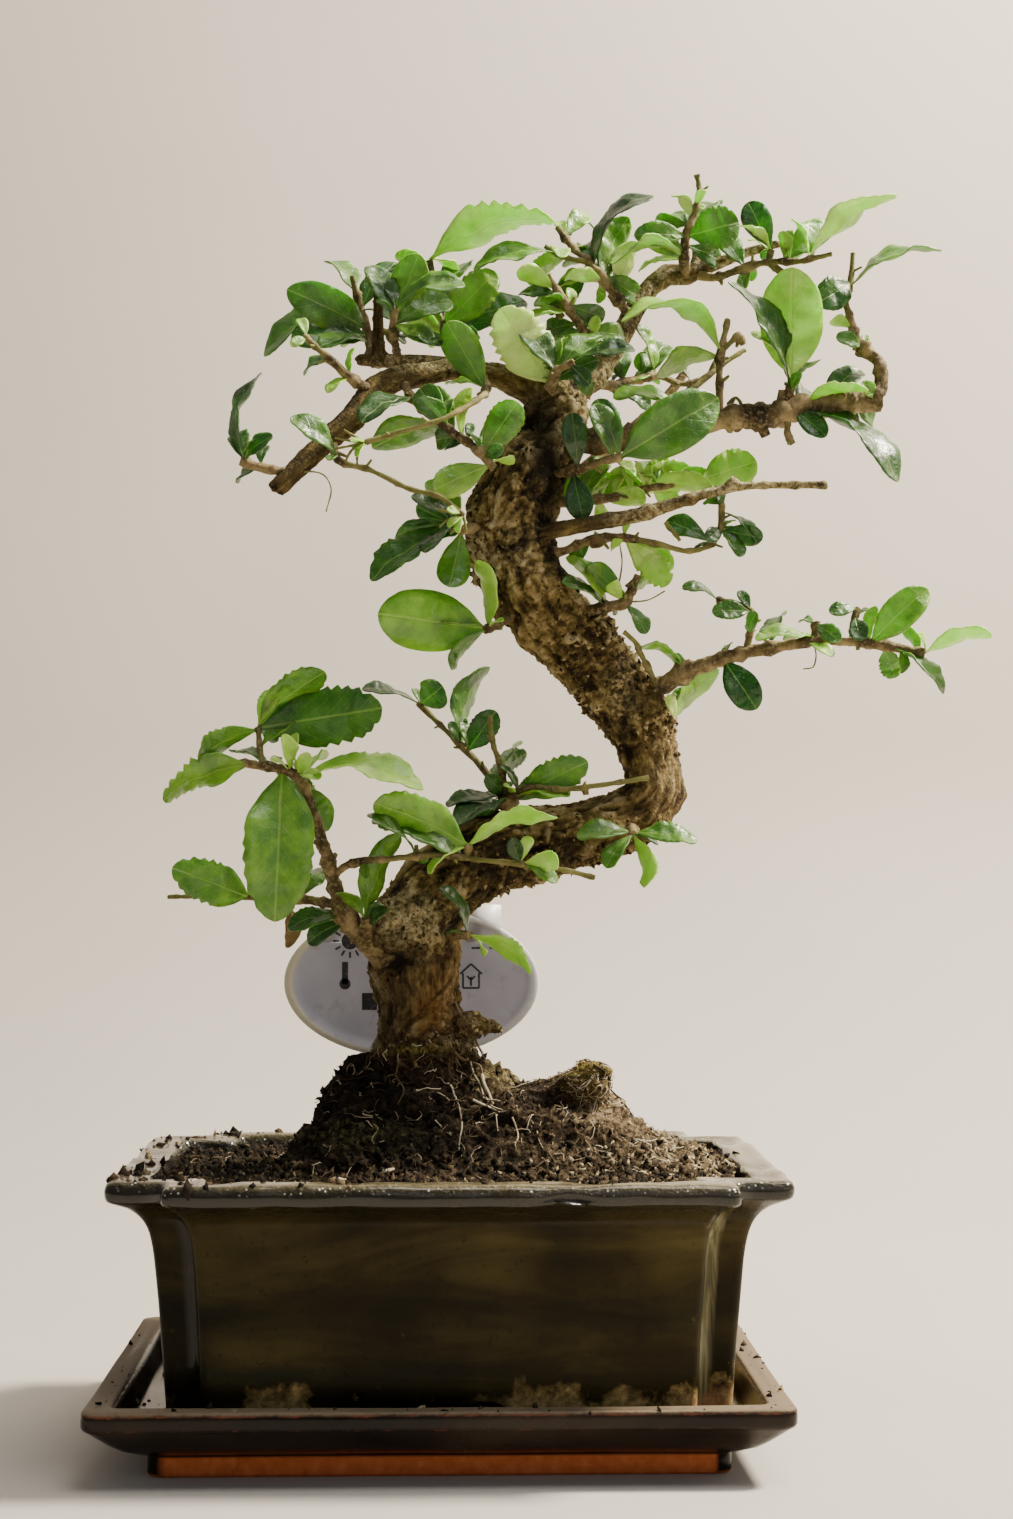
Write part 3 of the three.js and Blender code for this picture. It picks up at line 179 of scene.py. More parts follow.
def wire(sockets, **links):
    # an underscore stands for the space in a socket's name
    for key, value in links.items():
        value.id_data.links.new(value, sockets[key.replace("_", " ")])


def useGroup(tree, group, inputs):
    return addNode(tree, "ShaderNodeGroup", inputs, node_tree=group).outputs


def axesOf(vector):
    return addNode(vector.id_data, "ShaderNodeSeparateXYZ", {0: vector}).outputs


def packed(*values):
    return addNode(treeOf(values), "ShaderNodeCombineXYZ", dict(enumerate(values))).outputs[0]


def worn(tree, name):
    # a mask or value that the mesh carries, in a material
    return addNode(tree, "ShaderNodeAttribute", attribute_name=name).outputs["Fac"]


def stored(tree, name, kind="FLOAT"):
    # the same in a geometry tree
    return geo(tree, "InputNamedAttribute", {"Name": name}, data_type=kind)


def store(geometry, name, value, kind="FLOAT", domain="POINT"):
    tree = geometry.id_data
    made = addNode(tree, "GeometryNodeStoreNamedAttribute", {"Geometry": geometry, "Name": name},
        data_type=kind, domain=domain)
    feed(tree, next(s for s in made.inputs if s.name == "Value" and s.enabled), value)
    return made.outputs[0]


def bump(shader, height, distance, strength=1.0):
    tree = shader.id_data
    made = addNode(tree, "ShaderNodeBump", {"Height": height, "Distance": distance, "Strength": strength})
    wire(shader.inputs, Normal=made.outputs[0])


# helpers for meshes


def newObject(name, mesh):
    made = bpy.data.objects.new(name, mesh)
    scene.collection.objects.link(made)
    return made


def meshFrom(name, vertices, faces, edges=()):
    mesh = bpy.data.meshes.new(name)
    mesh.from_pydata([tuple(v) for v in vertices], list(edges), faces)
    mesh.update()
    return mesh


def setFloats(mesh, name, values):
    mesh.attributes.new(name, "FLOAT", "POINT").data.foreach_set("value", numpy.asarray(values, "f"))


def setVectors(mesh, name, values):
    flat = numpy.asarray([tuple(v) for v in values], "f").ravel()
    mesh.attributes.new(name, "FLOAT_VECTOR", "POINT").data.foreach_set("vector", flat)


def meshOf(work, name):
    mesh = bpy.data.meshes.new(name)
    work.to_mesh(mesh)
    work.free()
    return mesh


def places(mesh, kind="co"):
    flat = numpy.empty(len(mesh.vertices) * 3, "f")
    mesh.vertices.foreach_get(kind, flat)
    return flat.reshape(-1, 3)


normalsOf = functools.partial(places, kind="normal")


def surfaceOf(*meshes):
    vertices, faces = [], []
    for mesh in meshes:
        first = len(vertices)
        vertices += [v.co for v in mesh.vertices]
        faces += [[first + i for i in p.vertices] for p in mesh.polygons]
    return BVHTree.FromPolygons(vertices, faces)


def giveTree(obj, tree, values):
    # a Geometry Nodes modifier with its inputs set by identifier
    modifier = obj.modifiers.new(tree.name, "NODES")
    modifier.node_group = tree
    for item in tree.interface.items_tree:
        if item.in_out == "INPUT" and item.name in values:
            modifier[item.identifier] = values[item.name]


def settle(obj):
    # the modifiers' result becomes the object's own mesh
    graph = bpy.context.evaluated_depsgraph_get()
    made = bpy.data.meshes.new_from_object(obj.evaluated_get(graph), depsgraph=graph)
    made.name = obj.name
    obj.modifiers.clear()
    old, obj.data = obj.data, made
    bpy.data.meshes.remove(old)
    return obj


def joined(name, parts):
    # several settled objects as one, materials kept
    materials = []
    joint = bmesh.new()
    for part in parts:
        offset = {}
        for index, material in enumerate(part.data.materials):
            if material not in materials:
                materials.append(material)
            offset[index] = materials.index(material)
        first = len(joint.faces)
        joint.from_mesh(part.data)
        joint.faces.ensure_lookup_table()
        for face in joint.faces[first:]:
            face.material_index = offset.get(face.material_index, 0)
        bpy.data.objects.remove(part)
    mesh = meshOf(joint, name)
    for material in materials:
        mesh.materials.append(material)
    return newObject(name, mesh)


def copyOfNode(name):
    work = bmesh.new()
    work.from_mesh(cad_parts[name].data)
    bmesh.ops.remove_doubles(work, verts=work.verts, dist=1e-6)
    return newObject(name + "_copy", meshOf(work, name + "_copy"))


def finishPiece(piece, slot, *nodes):
    for polygon in piece.data.polygons:
        polygon.use_smooth = True
    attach(piece, "root")
    if nodes:
        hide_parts(*nodes)
    return piece


# camera: the photograph's view, worked out from the pot's and tray's edges
view = {"eye": (-5.7, -778, 171), "turn": 1.73, "tilt": 2.77, "focal": 2470}
view |= {"middleU": 506.5, "middleV": 759.5, "longSide": 1519}
eye = Vector(view["eye"]) * mm
turn, tilt = math.radians(view["turn"]), math.radians(view["tilt"])
ahead = Vector((math.sin(turn) * math.cos(tilt), math.cos(turn) * math.cos(tilt), math.sin(tilt)))
across = Vector((math.cos(turn), -math.sin(turn), 0))
upward = across.cross(ahead)


def rayTo(u, v):
    # the direction of picture point u, v
    right, up = (u - view["middleU"]) / view["focal"], (view["middleV"] - v) / view["focal"]
    return ahead + across * right + upward * up


def sight(u, v, y):
    # the place seen at picture point u, v at depth y in millimetres
    ray = rayTo(u, v)
    return eye + ray * ((y * mm - eye.y) / ray.y)


def scaleAt(y):
    return (y * mm - eye.y) / (view["focal"] * ahead.y)


camera = bpy.data.objects.new("camera", bpy.data.cameras.new("camera"))
scene.collection.objects.link(camera)
camera.matrix_world = Matrix.Translation(eye) @ Matrix((across, upward, -ahead)).transposed().to_4x4()
camera.data.sensor_width = 36
camera.data.lens = view["focal"] * 36 / view["longSide"]
camera.data.clip_start = 0.05
camera.data.clip_end = 20
scene.camera = camera


# stage: pale floor and backdrop, soft studio light
stage = {"floor": rgb(196, 190, 182), "wall": rgb(203, 194, 184), "wallY": 0.62, "reach": 3.2, "bend": 0.25}
stage |= {"world": rgb(205, 208, 214), "worldStrength": 0.26}
# name: place, aims at, size, power, colour
lamps = {
    "sun": ((0.85, 0.1, 1.2), (0.0, 0.0, 0.2), 0.26, 62, rgb(255, 244, 224)),
    "fill": ((0.6, -1.5, 0.8), (0.0, 0.0, 0.2), 1.4, 2.6, rgb(236, 240, 250)),
    "wash": ((0.4, -0.2, 1.7), (0.0, 0.6, 0.3), 1.0, 16.5, rgb(255, 250, 242)),
}


def makeStage():
    rings = [(-1.6, 0.0)]
    bend = stage["bend"]
    for step in range(13):
        angle = math.radians(90 * step / 12)
        rings.append((stage["wallY"] - bend + bend * math.sin(angle), bend - bend * math.cos(angle)))
    rings.append((stage["wallY"], 2.4))
    reach = stage["reach"]
    vertices = [(side * reach, y, z) for y, z in rings for side in (-1, 1)]
    faces = [(2 * k, 2 * k + 1, 2 * k + 3, 2 * k + 2) for k in range(len(rings) - 1)]
    floor = newObject("floor_and_backdrop", meshFrom("floor_and_backdrop", vertices, faces))
    for polygon in floor.data.polygons:
        polygon.use_smooth = True
    material, tree, shader, place = newMaterial("painted_backdrop", stage["floor"], Roughness=0.85,
        Specular_IOR_Level=0.2)
    height = axesOf(place)[2]
    share = remap(height, 0.0, 0.25, smooth=True)
    blotch = remap(cloud(place, 3.0), 0.3, 0.7, 0.94, 1.04)
    colour = tint(share, stage["floor"], stage["wall"])
    shade = addNode(tree, "ShaderNodeCombineColor", {0: blotch, 1: blotch, 2: blotch}).outputs[0]
    wire(shader.inputs, Base_Color=tint(1.0, colour, shade, "MULTIPLY"))
    # clear from behind, so that the object's back can be looked at
    behind = addNode(tree, "ShaderNodeNewGeometry").outputs["Backfacing"]
    wire(shader.inputs, Alpha=sub(1.0, behind))
    floor.data.materials.append(material)
    for name, (place, aim, size, power, colour) in lamps.items():
        light = bpy.data.lights.new(name, "AREA")
        light.shape = "DISK"
        light.size, light.energy, light.color = size, power, colour[:3]
        lamp = bpy.data.objects.new(name, light)
        scene.collection.objects.link(lamp)
        lamp.location = place
        lamp.rotation_euler = (Vector(aim) - Vector(place)).to_track_quat("-Z", "Y").to_euler()
    world = bpy.data.worlds.new("studio")
    scene.world = world
    world.use_nodes = True
    backdrop = world.node_tree.nodes["Background"]
    backdrop.inputs["Color"].default_value = stage["world"]
    backdrop.inputs["Strength"].default_value = stage["worldStrength"]


makeStage()
print("stage and camera set")


# leafy sprays, read off the picture: the stems as rows of u, v, depth and width seen, and the
# leaves as the u, v of base and tip, the width seen (negative where the underside shows), how far the tip
# lies behind the base, tone (-1 is a dead leaf), and then teeth and arch where they aren't 0 and 0.1.
# Stems without a depth start on the nearest stem, and widths under 3 are threads
# A leaf's tone is partly its own colour and partly painted light and shade: sunlit leaves have paler tones,
# leaves in shade darker ones.
sprays = {}
sprays["branch_left_low"] = ([
    [(398, 955, -2, 32), (372, 945, -9, 26), (355, 928, -13, 20), (340, 905, -16, 16), (333, 880, -19, 14),
     (325, 850, -22, 12), (315, 820, -24, 11), (305, 790, -26, 9), (298, 775, -27, 8)],
    [(300, 778, -27, 8), (285, 770, -27, 8), (255, 765, -25, 7), (235, 762, -23, 6), (190, 763, -18, 4)],
    [(262, 766, -25, 6), (260, 748, -23, 5), (258, 728, -20, 5)],
], [
    (260, 724, 325, 672, -36, -6, 0.55, 0.4, 0.12), (262, 726, 382, 708, -62, -12, 0.38, 0.6, 0.12),
    (257, 730, 198, 760, -26, -10, 0.55, 0.5, 0.12), (250, 770, 163, 800, -32, -8, 0.6, 1, 0.12),
    (272, 762, 232, 752, 10, 12, 0.4, 0.3), (288, 772, 282, 735, 14, -8, 0.8, 0, 0.12),
    (293, 774, 297, 733, 12, 2, 0.85), (298, 774, 309, 753, 14, -6, 0.85), (299, 775, 320, 779, 10, -8, 0.85),
    (260, 748, 297, 722, 12, 8, 0.5), (283, 772, 275, 922, 72, -9, 0.52, 0.3),
    (303, 786, 328, 831, -34, 12, 0.5), (301, 776, 423, 790, 22, -9, 0.7, 0.5, 0.14),
    (345, 915, 288, 929, 20, -4, 0.35, 0.3), (346, 922, 308, 943, 19, 2, 0.2),
])
sprays["twig_left_side"] = ([
    [(340, 904, -15, 9), (320, 902, -9, 9), (300, 899, -3, 8), (250, 897, 6, 6), (200, 896, 13, 5),
     (168, 897, 17, 4)],
], [
    (250, 894, 172, 868, 46, -10, 0.5, 0.6), (282, 898, 287, 948, 14, -2, -1, 0, 0.16),
    (300, 899, 330, 868, 16, 14, 0.3, 0.3),
])
sprays["twig_runner"] = ([
    [(334, 876, -19, 8), (346, 866, -23, 8), (360, 862, -25, 7), (400, 858, -27, 6), (440, 855, -28, 6),
     (480, 860, -28, 5), (520, 864, -28, 5), (560, 869, -27, 5), (595, 878, -26, 5)],
    [(467, 858, -28, 6), (468, 845, -28, 6)],
    [(417, 857, 5), (416, 845, 4)],
], [
    (467, 846, 374, 803, -46, -8, 0.65, 0.4, 0.12), (468, 846, 557, 818, -16, -12, 0.8, 0.2),
    (418, 856, 367, 816, 6, -10, 0.35), (362, 862, 366, 879, 12, -5, 0.5),
    (521, 865, 558, 860, -22, -8, 0.85, 0.3), (520, 864, 512, 838, 16, -6, 0.15),
    (522, 866, 557, 883, 14, -4, 0.5, 0.3), (460, 850, 372, 820, 30, 8, 0.42, 0.8, 0.12),
])
sprays["spray_spur"] = ([
    [(371, 942, -10, 9), (367, 930, -18, 9), (365, 918, -20, 7)],
], [
    (365, 919, 338, 893, -13, -8, 0.5, 0.2), (366, 917, 400, 834, -24, 6, 0.5, 0, 0.08),
    (367, 928, 388, 909, 10, -5, 0.3),
])
sprays["spray_burl"] = ([
    [(440, 936, -6, 9), (458, 935, -13, 8), (470, 935, -17, 6)],
], [
    (466, 934, 440, 888, 12, -6, 0.25, 0, 0.16), (470, 935, 531, 973, -18, -4, 0.85, 0.6),
])
sprays["spray_knot"] = ([
    [(512, 826, 1, 16), (508, 802, 0, 14), (500, 790, 4, 9), (480, 765, 9, 6), (440, 725, 16, 5),
     (418, 703, 20, 5)],
    [(506, 796, 0, 7), (500, 765, -4, 6), (492, 740, -7, 5), (490, 715, -9, 5)],
    [(508, 800, -1, 9), (530, 788, -9, 8), (560, 790, -14, 6), (600, 785, -15, 5), (648, 778, -8, 5)],
    [(530, 791, 7), (531, 784, 6)],
    [(585, 790, 7), (586, 795, 6)],
], [
    (419, 704, 443, 686, 34, -6, 0.35), (418, 703, 362, 690, 8, -6, 0.15, 0, 0.08),
    (462, 746, 490, 667, -20, 6, 0.35, 0, 0.14), (468, 752, 496, 711, 30, -8, 0.15, 0.3),
    (461, 744, 449, 722, 12, -6, 0.3), (501, 776, 527, 754, -16, 12, 0.4, 0.6),
    (519, 792, 588, 762, 40, -8, 0.45, 0.6, 0.12), (503, 796, 486, 775, 18, -9, 0.3),
    (505, 798, 447, 807, 10, -12, 0.2, 0.2, 0.08), (507, 803, 458, 826, 14, -20, 0.2, 0, 0.08),
    (512, 798, 570, 796, 12, -12, 0.6), (501, 790, 520, 745, 16, 18, 0.3, 0.3),
    (502, 800, 474, 824, 20, 5, 0.3, 0.2), (508, 802, 540, 782, 24, 7, 0.35, 0.3, 0.12),
])
sprays["spray_bend"] = ([
    [(628, 822, 2, 10), (633, 831, -6, 9), (633, 835, -10, 7)],
], [
    (632, 833, 577, 838, 18, -6, 0.45), (633, 835, 606, 868, 17, -6, 0.45),
    (635, 834, 697, 842, 20, -2, 0.5, 0.4), (633, 836, 646, 886, -20, -10, 0.8, 0.2, 0.14),
])
sprays["spray_bend_low"] = ([
    [(652, 735, 5, 9), (668, 724, 1, 8), (675, 717, -1, 6)],
], [
    (674, 718, 686, 688, -16, 6, 0.5), (674, 718, 719, 670, -24, 8, 0.6), (673, 718, 667, 695, 10, -6, 0.85),
])
sprays["branch_right_low"] = ([
    [(632, 706, 3, 26), (655, 690, 0, 22), (685, 672, -4, 16), (700, 667, -6, 14), (740, 654, -10, 12),
     (790, 645, -14, 10), (815, 641, -15, 9), (850, 642, -17, 9), (880, 645, -18, 8), (925, 653, -20, 6)],
    [(657, 688, -2, 7), (648, 668, -8, 6), (634, 641, -13, 5), (624, 632, -14, 5)],
    [(746, 652, -10, 7), (749, 636, -10, 6), (754, 614, -9, 5), (736, 603, -7, 5), (717, 600, -5, 5)],
    [(816, 641, -15, 7), (815, 623, -14, 7)],
    [(852, 642, -17, 6), (852, 625, -15, 5), (858, 609, -13, 5)],
    [(745, 652, 6), (748, 638, 5)],
    [(857, 640, 6), (858, 650, 4)],
    [(815, 648, 2), (816, 656, 1.6), (813, 667, 1.6), (803, 669, 1.5)],
], [
    (684, 673, 638, 648, -10, -7, 0.6, 0, 0.16), (750, 634, 757, 612, 12, -8, 0.4),
    (752, 612, 712, 612, 20, -6, 0.35, 0.3, 0.12), (717, 600, 682, 588, 9, -4, 0.3, 0, 0.16),
    (816, 638, 756, 640, 9, -8, 0.6, 0, 0.08), (858, 608, 829, 612, 14, -4, 0.35),
    (815, 624, 840, 641, 18, -9, 0.35), (854, 616, 861, 641, 20, -7, 0.2), (804, 643, 833, 657, 9, -6, 0.7),
    (870, 644, 928, 589, 36, -6, 0.6), (925, 652, 992, 635, -17, -7, 0.85), (922, 652, 903, 629, -12, 6, 0.6),
    (884, 647, 895, 678, -26, 4, 0.5, 0.7, 0.08), (898, 649, 904, 672, -12, -6, 0.5, 0.3),
    (892, 648, 943, 694, 7, -9, 0.4), (724, 659, 757, 709, 34, -7, 0.15),
    (768, 649, 782, 616, 20, 16, 0.3, 0.3),
])
sprays["branch_right_mid"] = ([
    [(566, 441, -2, 26), (610, 441, -8, 24), (660, 432, -10, 23), (715, 420, -10, 23), (740, 417, -10, 23),
     (770, 417, -9, 24), (790, 410, -8, 22), (820, 405, -7, 20), (850, 402, -6, 20), (879, 400, -5, 19)],
    [(870, 400, -5, 14), (881, 385, -4, 14), (878, 362, -3, 13), (865, 350, -2, 12), (855, 335, -1, 9),
     (850, 318, 0, 7), (846, 302, 0, 6), (850, 285, 1, 5), (853, 253, 2, 5)],
    [(788, 416, -9, 8), (788, 435, -10, 7), (793, 444, -10, 6)],
    [(793, 410, -8, 7), (790, 395, -10, 6), (791, 378, -11, 5)],
    [(720, 418, -10, 8), (720, 360, -6, 7), (728, 320, -2, 6)],
    [(667, 430, -8, 7), (674, 405, -1, 6), (692, 390, 3, 6), (722, 365, 7, 5), (745, 350, 10, 5)],
    [(722, 350, 5), (730, 343, 5), (738, 337, 9), (743, 345, 6)],
    [(728, 405, 7), (736, 398, 4), (742, 408, 3), (738, 418, 3)],
], [
    (795, 412, 826, 437, 22, -8, 0.2), (799, 411, 898, 482, 19, -10, 0.25, 0, 0.14),
    (800, 410, 868, 390, -14, -10, 0.8, 0.2), (790, 388, 819, 361, 8, 6, 0.5),
    (792, 394, 802, 373, 9, -6, 0.5), (791, 379, 792, 267, -64, -5, 0.8, 0, 0.08),
    (789, 390, 728, 282, 18, -9, 0.2), (822, 405, 860, 370, 26, 9, 0.25), (876, 400, 861, 383, 12, -7, 0.5),
    (858, 284, 817, 304, 36, -8, 0.25, 0.2, 0.12), (850, 288, 942, 251, 4, -4, 0.5, 0, 0.12),
    (852, 330, 832, 320, -13, -6, 0.8), (864, 348, 836, 337, 14, -6, 0.4),
    (721, 354, 622, 322, -9, -14, 0.7, 0, 0.26), (720, 356, 657, 375, -22, -8, 0.6),
    (676, 402, 613, 398, 14, -6, 0.6, 0.2), (850, 402, 872, 425, 18, 14, 0.3),
])
sprays["spray_left_mid"] = ([
    [(492, 527, -6, 10), (472, 528, -15, 9), (460, 530, -19, 7)],
], [
    (462, 528, 425, 483, -24, 10, 0.5), (461, 529, 411, 497, 14, -8, 0.2), (462, 530, 395, 541, -25, 2, 0.3),
    (463, 531, 371, 581, 28, -8, 0.3, 0.4), (462, 531, 450, 587, -34, -4, 0.45),
    (461, 530, 425, 553, 9, -14, 0.2), (462, 528, 416, 506, -28, 9, 0.35, 0.2),
])
sprays["spray_stub_left"] = ([
    [(516, 612, -8, 11), (500, 624, -16, 8), (485, 630, -19, 7)],
], [
    (488, 629, 477, 560, -18, -4, 0.75), (487, 628, 378, 614, -62, -6, 0.6),
    (485, 631, 451, 669, -14, -4, 0.4),
])
sprays["spray_under_left"] = ([
    [(402, 380, -4, 9), (412, 398, -13, 8), (425, 412, -19, 7), (450, 430, -24, 7), (475, 448, -27, 7),
     (494, 468, -28, 6)],
], [
    (412, 398, 362, 423, 20, -18, 0.2), (448, 428, 372, 448, -30, 12, 0.5), (446, 427, 420, 388, 30, 5, 0.4),
    (462, 440, 470, 387, -14, -6, 0.75, 0, 0.08), (482, 454, 518, 402, -38, -4, 0.5, 0.3),
    (490, 464, 434, 489, -34, -4, 0.6, 0.2), (466, 442, 446, 447, 12, 8, 0.15),
    (484, 458, 503, 446, 14, -7, 0.25), (478, 398, 424, 386, -26, 6, 0.5, 0.4, 0.12),
    (470, 420, 436, 440, 22, 6, 0.3, 0.2, 0.12), (486, 440, 520, 410, -30, 6, 0.4, 0.5, 0.12),
])
sprays["flower_stalk_left"] = ([
    [(484, 372, 3, 8), (486, 388, -7, 7), (480, 398, -26, 6), (440, 420, -36, 5), (400, 432, -36, 5),
     (366, 442, -36, 5)],
    [(366, 442, 2.9), (352, 441, 2.9), (335, 438, 2.2)],
    [(366, 442, 2.9), (350, 446, 2.9), (334, 449, 2.2)],
    [(366, 442, 2.9), (352, 450, 2.9), (345, 462, 2.2)],
    [(366, 442, 2.9), (358, 452, 2.9), (357, 465, 2.2)],
    [(366, 442, 2.9), (354, 436, 2.9), (344, 430, 2.2)],
], [
    (485, 388, 447, 322, -38, -7, 0.55, 0, 0.12), (366, 442, 351, 442, 4, -4, 0.75),
    (366, 442, 352, 449, 4, 2, 0.75), (367, 442, 357, 457, 5, -3, 0.75),
])
sprays["spray_cut_branch"] = ([
    [(333, 438, -21, 8), (338, 460, -28, 7), (370, 470, -31, 5), (410, 489, -33, 5), (440, 497, -35, 5),
     (463, 516, -36, 5)],
    [(463, 516, 2.9), (450, 512, 2.9), (438, 510, 2.2)],
    [(463, 516, 2.9), (448, 520, 2.9), (439, 527, 2.2)],
    [(463, 516, 2.9), (457, 526, 2.9), (450, 534, 2.2)],
    [(463, 516, 2.9), (465, 524, 2.9), (466, 532, 2.2)],
], [
    (338, 459, 290, 418, 20, -6, 0.4, 0, 0.14), (462, 515, 447, 510, 6, -4, 0.8),
    (462, 516, 448, 527, 7, -2, 0.8), (463, 516, 459, 533, 6, -4, 0.8),
])
sprays["spray_tip_left"] = ([
    [(294, 473, -27, 9), (268, 469, -29, 8), (240, 461, -30, 7)],
    [(286, 472, 2), (322, 474, 1.6), (331, 488, 1.6), (326, 512, 1.5)],
], [
    (244, 462, 262, 373, 10, 5, 0.15, 0, 0.14), (246, 462, 273, 436, 12, -8, 0.3),
    (262, 467, 240, 480, 10, 12, 0.3),
])
sprays["spray_top_left"] = ([
    [(366, 361, 13, 8), (370, 345, 18, 7), (367, 330, 20, 7), (358, 300, 20, 6), (352, 276, 18, 5)],
], [
    (366, 328, 287, 289, 42, -12, 0.42, 0, 0.12), (365, 325, 264, 356, 26, 6, 0.4, 0, 0.22),
    (369, 336, 291, 339, 32, -10, 0.25), (371, 342, 320, 348, 9, -16, 0.4),
    (361, 310, 398, 263, 22, 10, 0.25), (356, 294, 330, 262, 20, 16, 0.4, 0.3),
])
sprays["spray_top_left_low"] = ([
    [(376, 390, -10, 11), (356, 382, -18, 9), (325, 355, -24, 6), (303, 335, -26, 5)],
], [
    (306, 338, 291, 346, 10, -5, 0.5), (352, 378, 327, 393, 8, -5, 0.8), (330, 360, 306, 372, 10, 12, 0.4),
])
sprays["spray_top_left_right"] = ([
    [(400, 362, 10, 8), (395, 342, 1, 7), (393, 324, -2, 6), (396, 308, -3, 5)],
    [(399, 352, 7), (392, 342, 5), (385, 330, 4)],
], [
    (392, 322, 419, 254, -38, -2, 0.5, 0.2, 0.12), (396, 310, 465, 286, 16, -8, 0.4, 0, 0.18),
    (392, 326, 433, 344, 18, -8, 0.5), (394, 338, 441, 346, 12, -12, 0.2),
    (395, 318, 370, 266, 28, 8, 0.35, 0.2), (393, 326, 452, 302, 26, 7, 0.45, 0.2, 0.12),
])
sprays["spray_top_middle"] = ([
    [(455, 369, 5, 8), (450, 345, 10, 7), (443, 325, 13, 7), (436, 295, 15, 6), (430, 260, 14, 5)],
], [
    (430, 260, 553, 220, -38, -14, 0.85, 1, 0.14), (431, 264, 395, 256, -14, -2, 0.8),
    (446, 332, 408, 312, 24, 4, 0.85, 0.2), (443, 325, 496, 272, 42, -5, 0.62, 0.4, 0.12),
    (447, 334, 527, 303, 32, 5, 0.25), (441, 312, 470, 262, 22, 15, 0.4, 0.3),
    (449, 342, 478, 335, 14, -9, 0.4), (438, 345, 412, 298, -30, 5, 0.95, 0.3, 0.12),
    (446, 330, 470, 296, 24, 9, 0.5, 0.3), (445, 330, 494, 318, 24, 9, 0.55, 0.2),
    (440, 305, 408, 274, 24, 9, 0.5, 0.2),
])
sprays["spray_fork"] = ([
    [(556, 396, -2, 11), (552, 384, -14, 9), (558, 370, -19, 7), (574, 362, -21, 6)],
], [
    (553, 385, 500, 309, -60, -8, 0.95, 0.6), (572, 362, 635, 351, 12, -6, 0.2),
    (570, 364, 590, 385, 18, -5, 0.2), (556, 374, 562, 338, 14, 6, 0.5),
    (560, 384, 598, 360, 22, -6, 0.3, 0.2), (552, 372, 520, 330, 24, 8, 0.4, 0.2, 0.12),
    (556, 372, 602, 336, 22, 8, 0.5, 0.2, 0.12),
])
sprays["spray_upper_middle"] = ([
    [(612, 350, 9, 10), (592, 341, 0, 8), (575, 318, -6, 7), (560, 295, -8, 6), (548, 275, -8, 5)],
    [(562, 318, 7), (556, 310, 9), (551, 306, 6)],
], [
    (556, 290, 518, 270, -20, -6, 0.8), (562, 298, 519, 294, 12, 6, 0.25), (572, 312, 521, 323, 9, -4, 0.6),
    (594, 342, 550, 358, -12, -8, 0.85), (590, 339, 597, 316, 12, -5, 0.85),
    (580, 324, 545, 334, 20, 12, 0.4, 0.2), (566, 304, 604, 318, 22, 8, 0.35, 0.2),
    (586, 334, 536, 346, -24, 10, 0.4, 0.3), (572, 312, 536, 300, 20, 10, 0.55, 0.2),
    (585, 330, 624, 336, 22, 9, 0.5, 0.2),
])
sprays["spray_upper_right"] = ([
    [(630, 316, 13, 10), (618, 300, 7, 9), (603, 280, 5, 8), (588, 262, 7, 7), (572, 247, 9, 6),
     (558, 228, 12, 6)],
    [(588, 262, 7, 6), (562, 256, 3, 5), (545, 246, 1, 5)],
], [
    (594, 268, 654, 196, 14, -6, 0.1, 0, 0.2), (604, 281, 629, 217, -28, 6, 0.5, 0.2),
    (617, 298, 637, 242, -20, 4, 0.95), (614, 294, 612, 261, 12, 10, 0.5), (606, 284, 566, 277, -16, -9, 0.9),
    (598, 274, 558, 285, 14, 6, 0.6), (556, 254, 474, 271, 14, -6, 0.5),
    (601, 278, 592, 226, 20, 18, 0.4, 0.3), (590, 264, 556, 306, 26, 8, 0.35, 0.3, 0.12),
    (572, 250, 528, 284, -22, 6, 0.7, 0.3, 0.12), (600, 276, 640, 300, 24, 10, 0.45, 0.2),
    (560, 240, 586, 214, 22, 10, 0.6, 0.2),
])
sprays["spray_top"] = ([
    [(686, 276, 16, 10), (684, 258, 8, 8), (686, 238, 5, 7), (694, 215, 5, 6), (699, 190, 7, 5),
     (697, 175, 7, 5)],
], [
    (687, 236, 634, 236, 26, -6, 0.45, 0.2, 0.12), (684, 256, 660, 238, 20, -6, 0.5),
    (684, 260, 613, 264, -9, -20, 0.6, 0, 0.14), (693, 218, 682, 195, -13, -5, 0.95),
    (696, 208, 704, 190, -10, -6, 0.8), (687, 236, 739, 222, 46, -6, 0.4, 0.3, 0.14),
    (690, 228, 672, 214, 14, 9, 0.4), (688, 232, 716, 204, 22, 16, 0.4, 0.2),
    (690, 225, 655, 222, 20, 8, 0.5, 0.2), (686, 245, 720, 262, 22, 10, 0.35, 0.2),
])
sprays["spray_top_right"] = ([
    [(698, 275, 16, 10), (716, 277, 8, 8), (745, 268, 1, 7), (768, 262, -2, 6), (800, 261, -5, 5),
     (832, 254, -8, 5)],
    [(768, 262, -2, 7), (795, 282, 3, 7), (812, 290, 5, 6)],
    [(768, 262, -2, 6), (772, 250, -2, 5)],
], [
    (772, 250, 748, 202, 30, -4, 0.15, 0, 0.12), (771, 252, 741, 226, -10, -8, 0.8),
    (783, 261, 829, 224, 30, 6, 0.55), (809, 259, 897, 196, -20, -7, 0.85, 0.2),
    (752, 267, 742, 290, 14, 10, 0.4), (745, 268, 716, 236, 24, 12, 0.4, 0.2),
    (790, 262, 812, 236, -20, 10, 0.7, 0.2),
])
